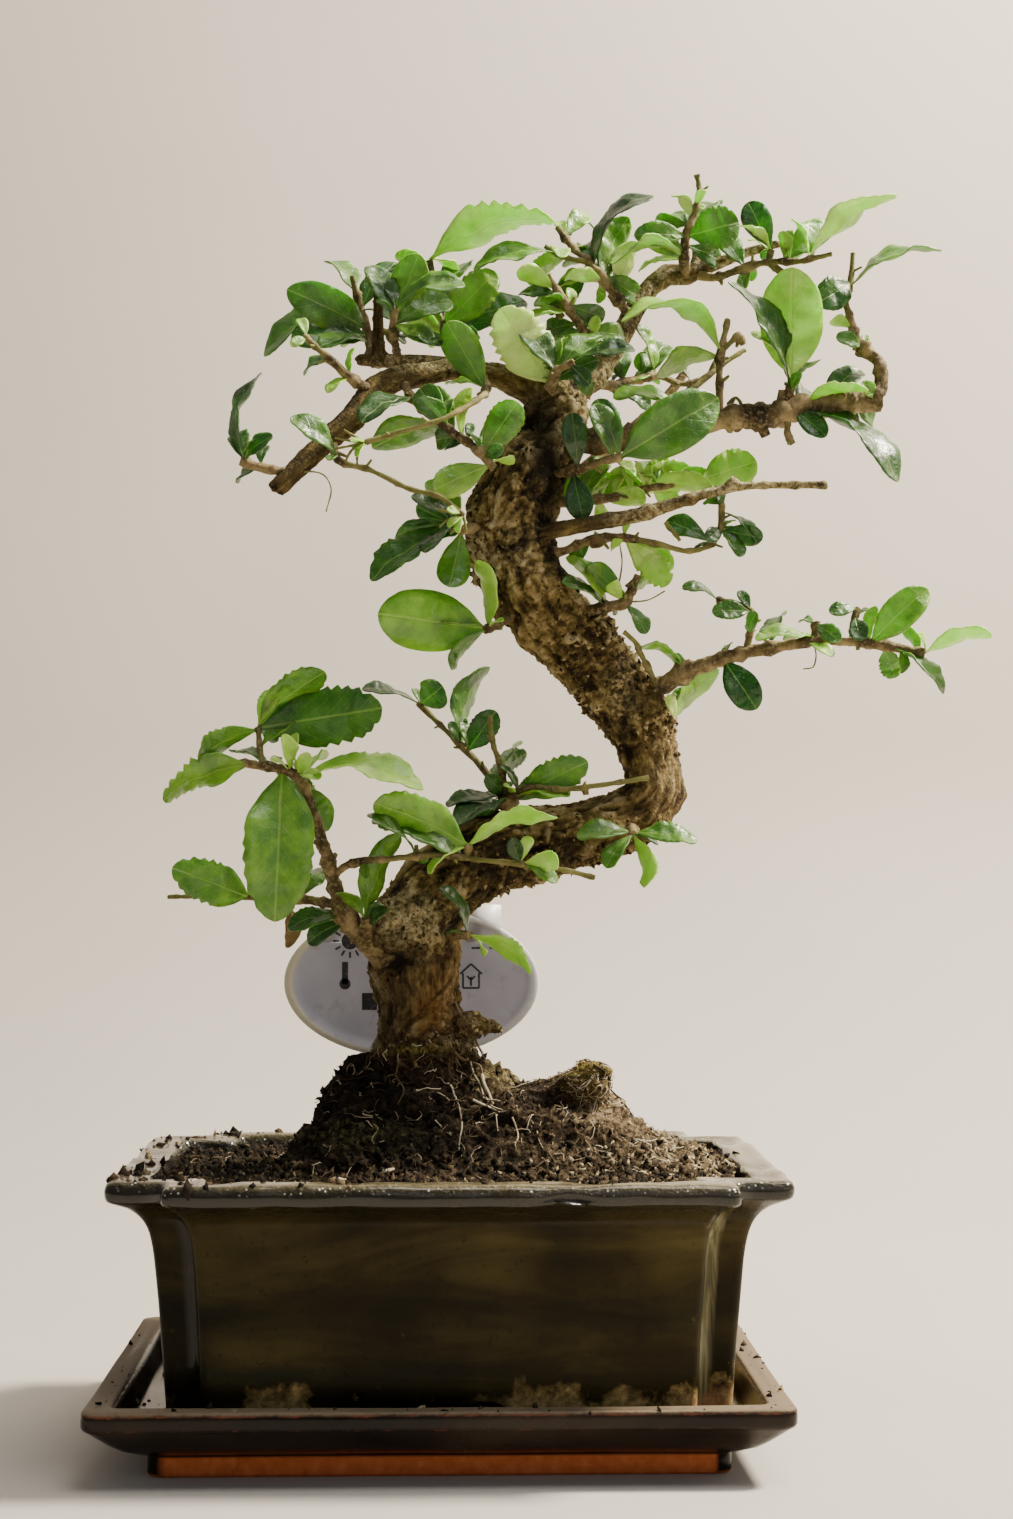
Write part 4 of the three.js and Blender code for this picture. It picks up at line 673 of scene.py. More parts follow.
sprays["spray_back_right"] = ([
    [(586, 382, 6, 9), (606, 386, 13, 8), (640, 379, 19, 7), (656, 375, 21, 6), (682, 384, 23, 6),
     (706, 377, 24, 5), (716, 361, 25, 5)],
], [
    (655, 376, 637, 325, 12, -2, 0.5), (640, 378, 668, 345, 26, 12, 0.4, 0.2),
    (622, 381, 606, 342, 24, 14, 0.4, 0.2), (690, 382, 684, 416, 22, 6, 0.4),
    (612, 392, 650, 407, 17, 3, 0.25, 0.2), (650, 384, 640, 352, -20, 4, 0.5, 0.2),
])
sprays["spray_front"] = ([
    [(556, 474, -6, 10), (576, 470, -17, 8), (600, 462, -23, 7), (622, 457, -26, 6)],
], [
    (578, 469, 572, 413, 26, -3, 0.15), (612, 459, 594, 404, 24, -2, 0.4, 0, 0.12),
    (621, 457, 718, 398, 56, -3, 0.45), (572, 471, 583, 520, 28, -2, 0.15, 0, 0.08),
])
sprays["spray_behind_twig"] = ([
    [(548, 502, -4, 10), (575, 502, -6, 8), (610, 498, -7, 7), (650, 488, -7, 6), (700, 480, -6, 5)],
], [
    (590, 500, 610, 480, -10, 5, 0.7), (598, 500, 646, 498, -22, -6, 0.85, 0.2),
    (645, 489, 610, 473, -14, 2, 0.75), (642, 490, 713, 488, -24, -5, 0.8, 0.4),
    (652, 488, 680, 506, -20, 4, 0.85), (698, 480, 757, 462, -44, 3, 0.7, 0.3),
    (660, 486, 640, 462, 18, 12, 0.4), (612, 498, 640, 466, -24, 5, 0.8, 0.3),
    (650, 500, 668, 458, -28, 6, 0.7, 0.3, 0.12), (580, 494, 606, 458, 24, 5, 0.55, 0.2, 0.12),
    (670, 499, 712, 476, -22, 5, 0.65, 0.2, 0.12), (600, 499, 642, 478, -28, 8, 0.75, 0.2),
    (630, 494, 692, 470, -30, 7, 0.8, 0.2), (585, 500, 624, 480, -20, 7, 0.7),
    (562, 501, 594, 468, 22, 6, 0.6, 0.2, 0.12),
])
sprays["twig_curved"] = ([
    [(540, 556, -5, 10), (562, 551, -11, 9), (600, 538, -14, 7), (640, 540, -15, 6), (690, 551, -15, 5),
     (710, 545, -15, 5), (720, 530, -15, 5), (722, 503, -16, 5)],
    [(665, 522, 5), (672, 530, 4), (680, 541, 4)],
], [
    (712, 543, 666, 521, 22, 5, 0.3), (721, 528, 706, 541, 16, -7, 0.2),
    (721, 529, 763, 538, 22, -4, 0.3, 0, 0.12), (721, 530, 741, 557, 13, -8, 0.35),
    (722, 512, 757, 545, 6, -3, 0.3, 0, 0.14), (722, 505, 704, 502, 8, 5, 0.4),
    (626, 539, 669, 584, -34, -3, 0.85, 1), (628, 539, 611, 549, -9, -5, 0.8),
    (606, 538, 591, 548, 12, -6, -1), (622, 548, 673, 569, -34, 5, 0.78, 0.3, 0.12),
    (590, 530, 570, 556, 20, 6, 0.4, 0.2),
])
sprays["spray_middle"] = ([
    [(575, 615, -6, 13), (604, 607, -12, 10), (624, 603, -14, 8), (632, 591, -14, 7), (638, 575, -14, 6)],
    [(628, 588, 7), (638, 575, 5)],
    [(618, 590, 2), (622, 562, 1.6), (620, 545, 1.5)],
    [(630, 602, 2), (648, 600, 1.6), (665, 591, 1.5)],
], [
    (608, 606, 566, 557, 14, -5, 0.6), (628, 598, 588, 566, -26, -4, 0.5), (624, 603, 611, 583, -16, -7, 0.8),
    (631, 593, 666, 575, -14, 8, 0.6), (606, 607, 562, 582, 10, -9, 0.4), (625, 603, 646, 634, 14, -4, 0.4),
    (622, 603, 640, 625, 7, 3, 0.7),
])

# shares of a leaf's own size; thickness, small, large and clear in metres
leafLook = {"fullness": 0.46, "cup": 0.2, "thickness": 0.00036, "columns": 34, "rows": 6}
leafLook |= {"toothDepth": 0.3, "toothLength": 0.098, "small": 0.012, "large": 0.03}
leafLook |= {"tufted": 0.66, "tuftSize": (0.34, 0.62), "tuftSeed": 21, "clear": 0.0016}
# outlines of a narrow-based and of a full blade: share of its length, share of its half width
leafOutlines = [
    [(0, 0.09), (0.07, 0.09), (0.16, 0.2), (0.32, 0.56), (0.5, 0.86), (0.66, 1), (0.8, 0.95), (0.9, 0.76),
        (0.96, 0.5), (1, 0)],
    [(0, 0.08), (0.04, 0.1), (0.1, 0.3), (0.22, 0.66), (0.4, 0.95), (0.55, 1), (0.75, 0.91), (0.88, 0.66),
        (0.96, 0.36), (1, 0)],
]
# radius, knot spacing and spur length in millimetres, thread in picture points
twigLook = {"sides": 9, "knobbly": 0.34, "perSpan": 7, "minRadius": 0.55, "thread": 3, "knotEvery": (5, 11)}
twigLook |= {"knotSwell": 0.34, "spurShare": 0.55, "spurLength": (1.4, 3.0)}


def smoothRoute(points, perSpan):
    # a centripetal curve through the points, as the solids have it
    ends = [2 * points[0] - points[1], *points, 2 * points[-1] - points[-2]]
    route = []
    for k in range(len(points) - 1):
        p0, p1, p2, p3 = ends[k : k + 4]
        d0, d1, d2 = (max((b - a).length, 1e-7) ** 0.5 for a, b in ((p0, p1), (p1, p2), (p2, p3)))
        leave = ((p1 - p0) / d0 - (p2 - p0) / (d0 + d1) + (p2 - p1) / d1) * d1
        arrive = ((p2 - p1) / d1 - (p3 - p1) / (d1 + d2) + (p3 - p2) / d2) * d1
        for i in range(perSpan):
            s = i / perSpan
            a, b = 2 * s**3 - 3 * s**2 + 1, s**3 - 2 * s**2 + s
            c, d = 3 * s**2 - 2 * s**3, s**3 - s**2
            route.append(a * p1 + b * leave + c * p2 + d * arrive)
    route.append(points[-1].copy())
    return route


def nearestOnStems(stems, u, v):
    best = None
    for rows in stems:
        for (u0, v0, y0, _), (u1, v1, y1, _) in zip(rows, rows[1:]):
            for i in range(13):
                s = i / 12
                at = (u0 + (u1 - u0) * s, v0 + (v1 - v0) * s, y0 + (y1 - y0) * s)
                away = math.hypot(at[0] - u, at[1] - v)
                if best is None or away < best[0]:
                    best = (away, *at)
    return best[1:]


def endTree(tree, geometry, given, result):
    # every geometry tree ends in plain faces with their material
    real = geo(tree, "RealizeInstances", {0: geometry})
    wire(result, Geometry=geo(tree, "SetMaterial", {"Geometry": real, "Material": given["Material"]}))
    return tree


def makeTwigTree():
    tree, given, result = newGeometry("twigTubes", Twigs=("geometry", None),
        Sides=("count", twigLook["sides"]), Knobbly=("value", twigLook["knobbly"]))
    thick = stored(tree, "thick")
    line = geo(tree, "MeshToCurve", {0: given["Twigs"]})
    ring = geo(tree, "CurvePrimitiveCircle", {"Resolution": given["Sides"], "Radius": 1.0})
    tube = geo(tree, "CurveToMesh", {"Curve": line, "Profile Curve": ring, "Fill Caps": True,
        "Scale": thick})
    rough = sub(cloud(geo(tree, "InputPosition"), 420.0, 3.0), 0.5)
    push = mul(mul(rough, given["Knobbly"]), mul(thick, 4.0))
    offset = vcalc("SCALE", geo(tree, "InputNormal"), scale=push)
    return endTree(tree, geo(tree, "SetPosition", {"Geometry": tube, "Offset": offset}), given, result)


def makeBladeTree():
    tree, given, result = newGeometry("leafBlades", Leaves=("geometry", None),
        Columns=("count", leafLook["columns"]), Rows=("count", leafLook["rows"]),
        Cup=("value", leafLook["cup"]))
    named = functools.partial(stored, tree)

    grid = geo(tree, "MeshGrid", {"Size X": 1.0, "Size Y": 2.0, "Vertices X": add(given["Columns"], 1.0),
        "Vertices Y": add(given["Rows"], 1.0)})
    spot = axesOf(geo(tree, "InputPosition"))
    # columns crowd towards the tip, so that it comes out round
    left = sub(0.5, spot[0])
    along = sub(1.0, calc("POWER", calc("MAXIMUM", left, 0.0), 1.45))
    blade = store(store(grid, "along", along), "aside", spot[1])
    real = geo(tree, "InstanceOnPoints", {"Points": given["Leaves"], "Instance": blade})
    real = geo(tree, "RealizeInstances", {0: real})
    along, aside, teeth, seed = named("along"), named("aside"), named("teeth"), named("seed")
    size = axesOf(named("size", "FLOAT_VECTOR"))
    outlines = []
    for shape in leafOutlines:
        curve = addNode(tree, "ShaderNodeFloatCurve", {"Value": along})
        points = curve.mapping.curves[0].points
        while len(points) < len(shape):
            points.new(0.5, 0.5)
        for point, spotAt in zip(points, shape):
            point.location = spotAt
        curve.mapping.update()
        outlines.append(curve.outputs[0])
    full = remap(size[0], leafLook["small"], leafLook["large"])
    outline = addNode(tree, "ShaderNodeMix", {0: full, 2: outlines[0], 3: outlines[1]}).outputs[0]
    # teeth lean towards the tip
    phase = calc("DIVIDE", sub(along, 0.46), leafLook["toothLength"])
    phase = calc("FRACT", add(phase, mul(calc("SIGN", aside), 0.18)))
    left = sub(1.0, phase)
    bite = calc("MINIMUM", mul(phase, 5.0), mul(left, 1.25))
    toothed = mul(remap(along, 0.4, 0.52), remap(along, 0.97, 0.9))
    bite = mul(mul(bite, teeth), toothed)
    outline = mulAdd(bite, -leafLook["toothDepth"], outline)
    outline = calc("MAXIMUM", outline, 0.0)
    width = mul(mul(aside, outline), size[1])
    length = mul(along, size[0])
    arch = mul(size[2], mul(along, sub(1.0, along)))
    share = mul(aside, outline)
    cup = mul(mul(share, share), mul(size[1], given["Cup"]))
    sway = calc("SINE", add(mul(along, 8.5), mul(seed, 20.0)))
    sway = mul(mul(sway, share), mul(size[1], 0.14))
    rib = calc("MINIMUM", mul(calc("ABSOLUTE", aside), 5.0), 1.0)
    rib = mul(mul(rib, outline), mul(size[1], 0.055))
    rise = add(add(mul(arch, 4.0), cup), add(sway, rib))
    # no two blades pucker alike
    pucker = sub(cloud(packed(mul(along, 4.5), share, mul(seed, 40.0)), 1.0, 2.0), 0.5)
    rise = mulAdd(mul(pucker, outline), mul(size[1], 0.75), rise)
    place = named("base", "FLOAT_VECTOR")
    for name, amount in (("axis", length), ("side", width), ("face", rise)):
        place = vcalc("ADD", place, vcalc("SCALE", named(name, "FLOAT_VECTOR"), scale=amount))
    shaped = geo(tree, "SetPosition", {"Geometry": real, "Position": place})
    shaped = store(shaped, "blade", packed(along, share), "FLOAT2", "CORNER")
    merged = geo(tree, "MergeByDistance", {"Geometry": shaped, "Distance": 0.00001})
    return endTree(tree, merged, given, result)


def leafRow(stems, row):
    plain = (0, 0.1)
    bu, bv, tu, tv, seen, tipBehind, tone, teeth, arch = (*row, *plain[len(row) - 7:])
    face, seen = (-1, -seen) if seen < 0 else (1, seen)
    u, v, y = nearestOnStems(stems, bu, bv)
    base, tip = sight(u, v, y), sight(tu, tv, y + tipBehind)
    axis = tip - base
    length = axis.length
    axis.normalize()
    seenHalf = seen / 2 * scaleAt(y + tipBehind / 2)
    half = max(seenHalf, leafLook["fullness"] * length / 2)
    roll = math.acos(min(seenHalf / half, 1))
    flat = axis.cross((eye - base).normalized()).normalized()
    front = flat.cross(axis).normalized()
    sideways = -flat if flat.z < 0 else flat
    normal = (front * (face * math.cos(roll)) + sideways * math.sin(roll)).normalized()
    side = axis.cross(normal).normalized()
    return base, axis, side, normal, (length, half, arch * length), teeth, tone


def tuftRows(rows, draw):
    # small leaves that share a node with a bigger one, where they stay clear of the wood
    extra = []
    for base, axis, side, _, (length, *_), _, tone in rows:
        turned = axis * draw.uniform(-0.3, 0.6) + side * draw.uniform(-1, 1)
        turned += Vector((0, draw.uniform(-0.1, 0.9), draw.uniform(-0.2, 0.7)))
        turned.normalize()
        size = draw.uniform(*leafLook["tuftSize"]) * max(length, 16 * mm)
        up = Vector((draw.uniform(-0.5, 0.5), draw.uniform(-0.9, 0.1), 1))
        face = (up - turned * up.dot(turned)).normalized()
        tuftTone = min(max(tone + draw.uniform(-0.15, 0.25), 0.2), 0.9)
        if draw.random() > leafLook["tufted"] or tone < 0 or length < 7 * mm:
            continue
        room = min(clearOf(woodSurface, base + turned * size * share) for share in (0.45, 0.75, 1))
        if room < leafLook["clear"]:
            continue
        shape = (size, size * leafLook["fullness"] / 2, size * 0.12)
        extra.append((base, turned, turned.cross(face).normalized(), face, shape, 0.3, tuftTone))
    return extra


def clearOf(surface, place):
    near, normal, _, away = surface.find_nearest(place)
    return away if (place - near).dot(normal) > 0 else -away


def addSpurs(route, radii, draw):
    # knots along a twig, some with a short stub
    spurs, run, wait = [], 0.0, draw.uniform(*twigLook["knotEvery"]) * mm
    knots = []
    for k in range(1, len(route)):
        run += (route[k] - route[k - 1]).length
        if run < wait:
            continue
        run, wait = 0.0, draw.uniform(*twigLook["knotEvery"]) * mm
        knots.append(route[k])
        along = (route[k] - route[k - 1]).normalized()
        out = Vector([draw.uniform(-1, 1) for _ in range(3)])
        out = (out - along * out.dot(along)).normalized() + along * 0.5
        reach = draw.uniform(*twigLook["spurLength"]) * mm + radii[k]
        if draw.random() < twigLook["spurShare"] and k < len(route) - 3:
            thin = radii[k] * 0.5
            spurs.append(([route[k], route[k] + out * reach * 0.6, route[k] + out * reach],
                [thin * 1.3, thin, thin * 0.8]))
    return knots, spurs


def makeSpray(name, given, leaves):
    stems = [stem for stem in given if len(stem[0]) == 4]
    rows = [leafRow(stems, row) for row in leaves]
    draw = random.Random(name)
    rows += tuftRows(rows, random.Random(name + str(leafLook["tuftSeed"])))
    bases = [row[0] for row in rows]
    loose = [stem for stem in given if len(stem[0]) == 3]
    depths = [nearestOnStems(stems, *stem[0][:2])[2] for stem in loose]
    stems += [[(u, v, y, w) for u, v, w in stem] for stem, y in zip(loose, depths)]
    lines = []
    for stem in stems:
        thread = stem[0][3] < twigLook["thread"]
        route = smoothRoute([sight(u, v, y) for u, v, y, w in stem], twigLook["perSpan"])
        thinnest = 0 if thread else twigLook["minRadius"] * mm
        marks = [max(w / 2 * scaleAt(y), thinnest) for u, v, y, w in stem]
        radii = numpy.interp(numpy.arange(len(route)) / twigLook["perSpan"], range(len(marks)), marks)
        knots, spurs = ([], []) if thread or len(stem) < 3 else addSpurs(route, radii, draw)
        for k, place in enumerate(route):
            # wood swells at a knot and where a leaf sits
            leaf = min((place - base).length for base in bases) / (2.2 * mm)
            knot = min([(place - spot).length for spot in knots] + [1.0]) / (1.3 * mm)
            if not thread:
                radii[k] *= 1 + 0.4 * math.exp(-leaf * leaf) + twigLook["knotSwell"] * math.exp(-knot * knot)
        lines += [(route, radii), *spurs]
    vertices, edges, thick = [], [], []
    for route, radii in lines:
        first = len(vertices)
        vertices += route
        thick += list(radii)
        edges += [(k, k + 1) for k in range(first, len(vertices) - 1)]
    twigLines = meshFrom(name, vertices, [], edges)
    setFloats(twigLines, "thick", thick)
    twigs = newObject(name + "_twigs", twigLines)
    giveTree(twigs, twigTree, {"Material": twigBark})
    settle(twigs)
    points = meshFrom(name, bases, [])
    for index, label in enumerate(("base", "axis", "side", "face", "size")):
        setVectors(points, label, [row[index] for row in rows])
    setFloats(points, "teeth", [row[5] for row in rows])
    setFloats(points, "tone", [row[6] for row in rows])
    setFloats(points, "seed", [draw.random() for row in rows])
    blades = newObject(name + "_blades", points)
    giveTree(blades, bladeTree, {"Material": leafSkin})
    solid = blades.modifiers.new("thickness", "SOLIDIFY")
    solid.thickness, solid.offset = leafLook["thickness"], 0
    settle(blades)
    return finishPiece(joined("leafy_" + name, [twigs, blades]), "foliage", name)


# leaves and twigs: finish

# leaf colours from dark to pale by tone; tone carries painted light and shade along with the leaf's own
# colour
leafTones = [(0.0, rgb(20, 42, 18)), (0.3, rgb(44, 80, 24)), (0.5, rgb(84, 124, 36)),
    (0.62, rgb(118, 158, 44))]
leafTones += [(0.8, rgb(158, 202, 68)), (1.0, rgb(196, 224, 130))]


def makeLeafGroup():
    # colour, roughness and relief of a blade, from its own length and width
    tree, given, result = newSurface("leafSurface", Place=("vector", None), Blade=("vector", None),
        Tone=("value", 0.5), Seed=("value", 0.0))
    uv = axesOf(given["Blade"])
    along, aside = uv[0], calc("ABSOLUTE", uv[1])
    midrib = remap(aside, 0.012, 0.06, 1.0, 0.0, smooth=True)
    # side veins lean towards the tip
    phase = sub(mul(along, 7.0), mul(aside, 2.2))
    saw = calc("ABSOLUTE", sub(calc("FRACT", phase), 0.5))
    veins = remap(saw, 0.0, 0.09, 1.0, 0.0, smooth=True)
    veins = mul(veins, remap(aside, 0.75, 0.98, 0.7, 0.0))
    blotch = cloud(given["Place"], 160.0, 3.0)
    tone = add(given["Tone"], mul(sub(blotch, 0.5), 0.45))
    edge = remap(aside, 0.6, 1.0, 0.0, 0.07)
    tone = add(tone, edge)
    tone = add(tone, mul(sub(given["Seed"], 0.5), 0.08))
    colour = ramp(tone, leafTones)
    lines = calc("MAXIMUM", midrib, mul(veins, 0.38))
    colour = tint(mul(lines, 0.28), colour, rgb(190, 208, 112))
    # the small white dots of the leaf's rough hairs
    dots = remap(cells(given["Place"], 900.0), 0.07, 0.16, 1.0, 0.0, smooth=True)
    colour = tint(mul(dots, 0.35), colour, rgb(214, 222, 190))
    dead = calc("LESS_THAN", given["Tone"], -0.5)
    brown = tint(blotch, rgb(70, 48, 28), rgb(146, 108, 62))
    wire(result, Colour=tint(dead, colour, brown))
    gloss = remap(blotch, 0.3, 0.7, 0.3, 0.46)
    wire(result, Roughness=add(gloss, mul(dead, 0.35)))
    height = sub(mul(dots, 0.6), mul(lines, 0.7))
    height = add(height, mul(cloud(given["Place"], 420.0, 3.0), 1.6))
    wire(result, Height=height)
    return tree


def makeLeafSkin():
    made, tree, shader, place = newMaterial("leaf_skin", (0.2, 0.4, 0.08, 1), Subsurface_Weight=0.55,
        Subsurface_Radius=(0.6, 1.0, 0.25), Subsurface_Scale=0.0016, Specular_IOR_Level=0.55)
    blade = addNode(tree, "ShaderNodeUVMap", uv_map="blade").outputs[0]
    inputs = {"Place": place, "Blade": blade, "Tone": worn(tree, "tone"), "Seed": worn(tree, "seed")}
    surface = useGroup(tree, makeLeafGroup(), inputs)
    wire(shader.inputs, Base_Color=surface["Colour"], Roughness=surface["Roughness"])
    bump(shader, surface["Height"], 0.0004, 0.6)
    return made


def makeTwigBark():
    made, tree, shader, place = newMaterial("twig_bark", (0.2, 0.15, 0.1, 1), Roughness=0.75,
        Specular_IOR_Level=0.3)
    thick = worn(tree, "thick")
    broad, fine = cloud(place, 130.0, 4.0), cloud(place, 900.0, 3.0)
    colour = ramp(broad, [(0.32, rgb(38, 29, 16)), (0.48, rgb(90, 74, 42)), (0.66, rgb(156, 136, 92))])
    colour = tint(remap(fine, 0.5, 0.68, 0.0, 0.45), colour, rgb(178, 160, 118))
    # the youngest ends are green
    young = remap(thick, 0.0007, 0.0013, 0.75, 0.0)
    colour = tint(young, colour, rgb(118, 122, 58))
    wire(shader.inputs, Base_Color=colour)
    height = add(mul(broad, 0.6), mul(fine, 0.6))
    bump(shader, height, 0.0006, 0.8)
    return made


leafSkin, twigBark = makeLeafSkin(), makeTwigBark()
twigTree, bladeTree = makeTwigTree(), makeBladeTree()
woodSurface = surfaceOf(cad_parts["trunk"].data)
for name, (stems, leaves) in sprays.items():
    makeSpray(name, stems, leaves)
print("sprays made:", len(sprays))


# trunk

# centre lines of the wood: u, v and depth
woodLines = {
    "trunk": [(428, 1150, 0), (426, 1090, 0), (425, 1060, 0), (421, 1030, 0), (418, 1000, 0), (413, 975, 0),
        (412, 945, 0), (420, 915, 0), (440, 888, 1), (470, 865, 2), (505, 850, 3), (560, 839, 5),
        (608, 828, 7), (640, 815, 8), (656, 790, 8), (651, 765, 7), (642, 735, 5), (629, 709, 3),
        (606, 680, 1), (578, 645, -2), (552, 620, -4), (529, 590, -5), (514, 553, -5), (511, 514, -4),
        (522, 482, -2), (540, 455, 0), (552, 430, 1), (556, 405, 2), (557, 386, 2)],
    "rightLimb": [(556, 400, 2), (575, 383, 4), (593, 375, 6), (609, 354, 9), (625, 328, 12), (635, 307, 15),
        (651, 286, 17), (667, 275, 18), (688, 274, 17), (714, 265, 15), (745, 253, 13), (780, 243, 10)],
    "rightStub": [(696, 272, 16), (697, 258, 17), (697, 245, 18)],
    "leftLimb": [(556, 400, 2), (530, 388, 2), (505, 378, 3), (478, 372, 4), (448, 368, 6), (426, 364, 8),
        (395, 361, 11), (357, 360, 14)],
    "cutBranch": [(452, 370, 5), (422, 375, 1), (400, 378, -4), (376, 388, -10), (352, 418, -17),
        (314, 453, -24), (275, 490, -30)],
    "cutBranchStub": [(379, 366, 12), (378, 330, 9), (378, 290, 7)],
    "backLimb": [(545, 480, 2), (585, 475, 12), (610, 450, 20), (640, 425, 27), (665, 400, 33),
        (687, 370, 38)],
    "longTwig": [(530, 537, -10), (548, 532, -16), (580, 525, -20), (640, 515, -24), (680, 502, -26),
        (700, 495, -27), (737, 487, -28), (760, 485, -29), (827, 485, -31)],
    "rootStub": [(440, 1036, -4), (470, 1023, -8), (500, 1028, -9)],
    "rootRight": [(450, 1105, 0), (520, 1108, -3), (566, 1096, -5), (590, 1082, -6), (594, 1066, -6)],
    "rootLeft": [(410, 1090, 0), (350, 1125, 4), (312, 1170, 6)],
    "rootFront": [(430, 1090, -4), (452, 1135, -20), (470, 1185, -30)],
}

# voxel and relief heights in metres
woodLook = {"voxel": 0.00084, "smoothing": 4, "lumps": 0.005, "furrows": 0.0019, "cracks": 0.0006,
    "crumbs": 0.0025}
woodLook |= {"grainStretch": 0.34, "twist": 4.0}
barkFlakes = {"Density": 260000.0, "Smallest": 0.0003, "Largest": 0.0011}
# marks: u, v, half width, half height and amount, as read in the picture
woodMarks = {
    "crumb": [(505, 520, 50, 60, 0.25), (480, 540, 12, 60, 0.6), (560, 610, 60, 55, 0.45),
        (620, 690, 60, 60, 1.0), (600, 640, 45, 40, 0.6), (540, 440, 45, 55, 0.8), (600, 840, 80, 30, 0.8),
        (530, 865, 50, 35, 0.7), (470, 880, 50, 40, 0.5), (408, 925, 50, 40, 1.0), (430, 1050, 90, 30, 1.0),
        (590, 1080, 60, 50, 0.5), (480, 1025, 45, 22, 1.0), (670, 720, 26, 40, 0.9), (590, 370, 40, 30, 0.5),
        (480, 560, 30, 70, 0.5), (380, 975, 20, 40, 0.5)],
    "shade": [(405, 960, 42, 10, 0.9), (395, 938, 10, 8, 0.5), (540, 418, 24, 42, 1.0),
        (545, 470, 22, 22, 0.7), (562, 569, 10, 12, 1.0), (600, 540, 26, 40, 0.5), (390, 1000, 26, 50, 0.8),
        (560, 855, 80, 22, 0.5), (600, 1075, 8, 8, 1.0), (535, 690, 20, 40, 0.4), (600, 760, 22, 30, 0.4),
        (480, 870, 40, 25, 0.4), (630, 640, 20, 30, 0.3), (550, 500, 12, 60, 0.5)],
    "fibre": [(664, 772, 24, 42, 1.0), (445, 1000, 24, 45, 0.8), (400, 990, 20, 40, 0.4),
        (640, 820, 40, 30, 0.3)],
    "moss": [(590, 1072, 26, 20, 1.0), (575, 1075, 14, 14, 0.7), (420, 1049, 40, 5, 0.9),
        (482, 1016, 26, 10, 0.5)],
    "tuft": [(482, 1022, 30, 16, 0.9)],
    "rust": [(440, 1005, 22, 40, 0.8), (425, 1020, 20, 20, 0.7), (590, 1086, 12, 9, 0.8)],
    # pale is partly pale bark and lichen, partly painted light on the sunlit tops and sides of limbs
    "pale": [(405, 922, 36, 24, 1.3), (585, 392, 34, 18, 0.8), (515, 550, 24, 30, 0.35),
        (622, 690, 20, 36, 0.4), (560, 455, 10, 16, 0.5), (600, 1104, 24, 16, 0.9), (665, 770, 15, 34, 0.4),
        (492, 392, 9, 7, 0.9), (612, 350, 26, 40, 0.9), (740, 486, 90, 12, 1.3), (640, 512, 50, 14, 1.0),
        (440, 362, 70, 9, 1.4), (745, 256, 60, 14, 1.6), (650, 290, 34, 30, 0.9), (800, 402, 80, 12, 0.9)],
    "earth": [(420, 1085, 130, 42, 1.3), (520, 1112, 100, 32, 1.0), (480, 1030, 40, 18, 0.5)],
    "push": [(535, 418, 13, 30, -3.2), (562, 470, 13, 7, -1.6), (563, 569, 6, 8, -2.2),
        (610, 630, 15, 26, 2.0), (402, 926, 36, 25, 4.6), (400, 960, 42, 9, -2.4), (420, 935, 12, 10, 1.2),
        (388, 915, 12, 10, 1.2), (600, 1076, 5, 6, -3.2), (378, 940, 12, 14, 1.4), (588, 1080, 24, 20, 1.8),
        (385, 1000, 14, 22, -1.4), (456, 1000, 12, 20, -1.4), (425, 1052, 60, 10, 1.6),
        (472, 1022, 16, 12, 2.4), (520, 640, 14, 12, 1.2), (590, 700, 14, 14, 1.4), (655, 705, 12, 14, 1.6),
        (480, 500, 10, 20, 0.9), (590, 585, 12, 12, 1.2), (650, 740, 8, 26, -1.0), (500, 470, 12, 26, -0.8),
        (545, 540, 7, 50, -1.4), (640, 800, 12, 12, 1.0), (560, 875, 22, 8, 1.2), (620, 862, 16, 7, 1.2),
        (648, 512, 8, 7, 1.5), (731, 481, 8, 6, 2.6), (690, 500, 7, 6, 1.2), (795, 486, 5, 5, 0.8),
        (610, 520, 8, 7, 1.2), (824, 486, 4, 6, 0.8), (764, 486, 5, 5, 0.7), (445, 885, 12, 10, 1.2),
        (395, 965, 14, 8, -1.0)],
}


def inPicture(spots):
    # u, v of places, and the places as seen from the eye
    seen = spots.astype("f8") - numpy.array(eye)
    depth = seen @ numpy.array(ahead)
    u = view["middleU"] + view["focal"] * (seen @ numpy.array(across)) / depth
    return u, view["middleV"] - view["focal"] * (seen @ numpy.array(upward)) / depth, seen


def marked(u, v, marks):
    total = numpy.zeros(len(u))
    for mu, mv, halfU, halfV, amount in marks:
        away = ((u - mu) / halfU) ** 2 + ((v - mv) / halfV) ** 2
        total += amount * numpy.exp(-(away**1.5))
    return total


def giveMasks(mesh, marks, names):
    u, v, seen = inPicture(places(mesh))
    for name in names:
        setFloats(mesh, name, marked(u, v, marks[name]))
    return u, v, -(normalsOf(mesh) * seen).sum(1) / numpy.linalg.norm(seen, axis=1)


def remeshed(obj, voxel, smoothing):
    remesh = obj.modifiers.new("remesh", "REMESH")
    remesh.mode, remesh.voxel_size, remesh.use_smooth_shade = "VOXEL", voxel, True
    smooth = obj.modifiers.new("smooth", "SMOOTH")
    smooth.factor, smooth.iterations = 0.5, smoothing
    return settle(obj)


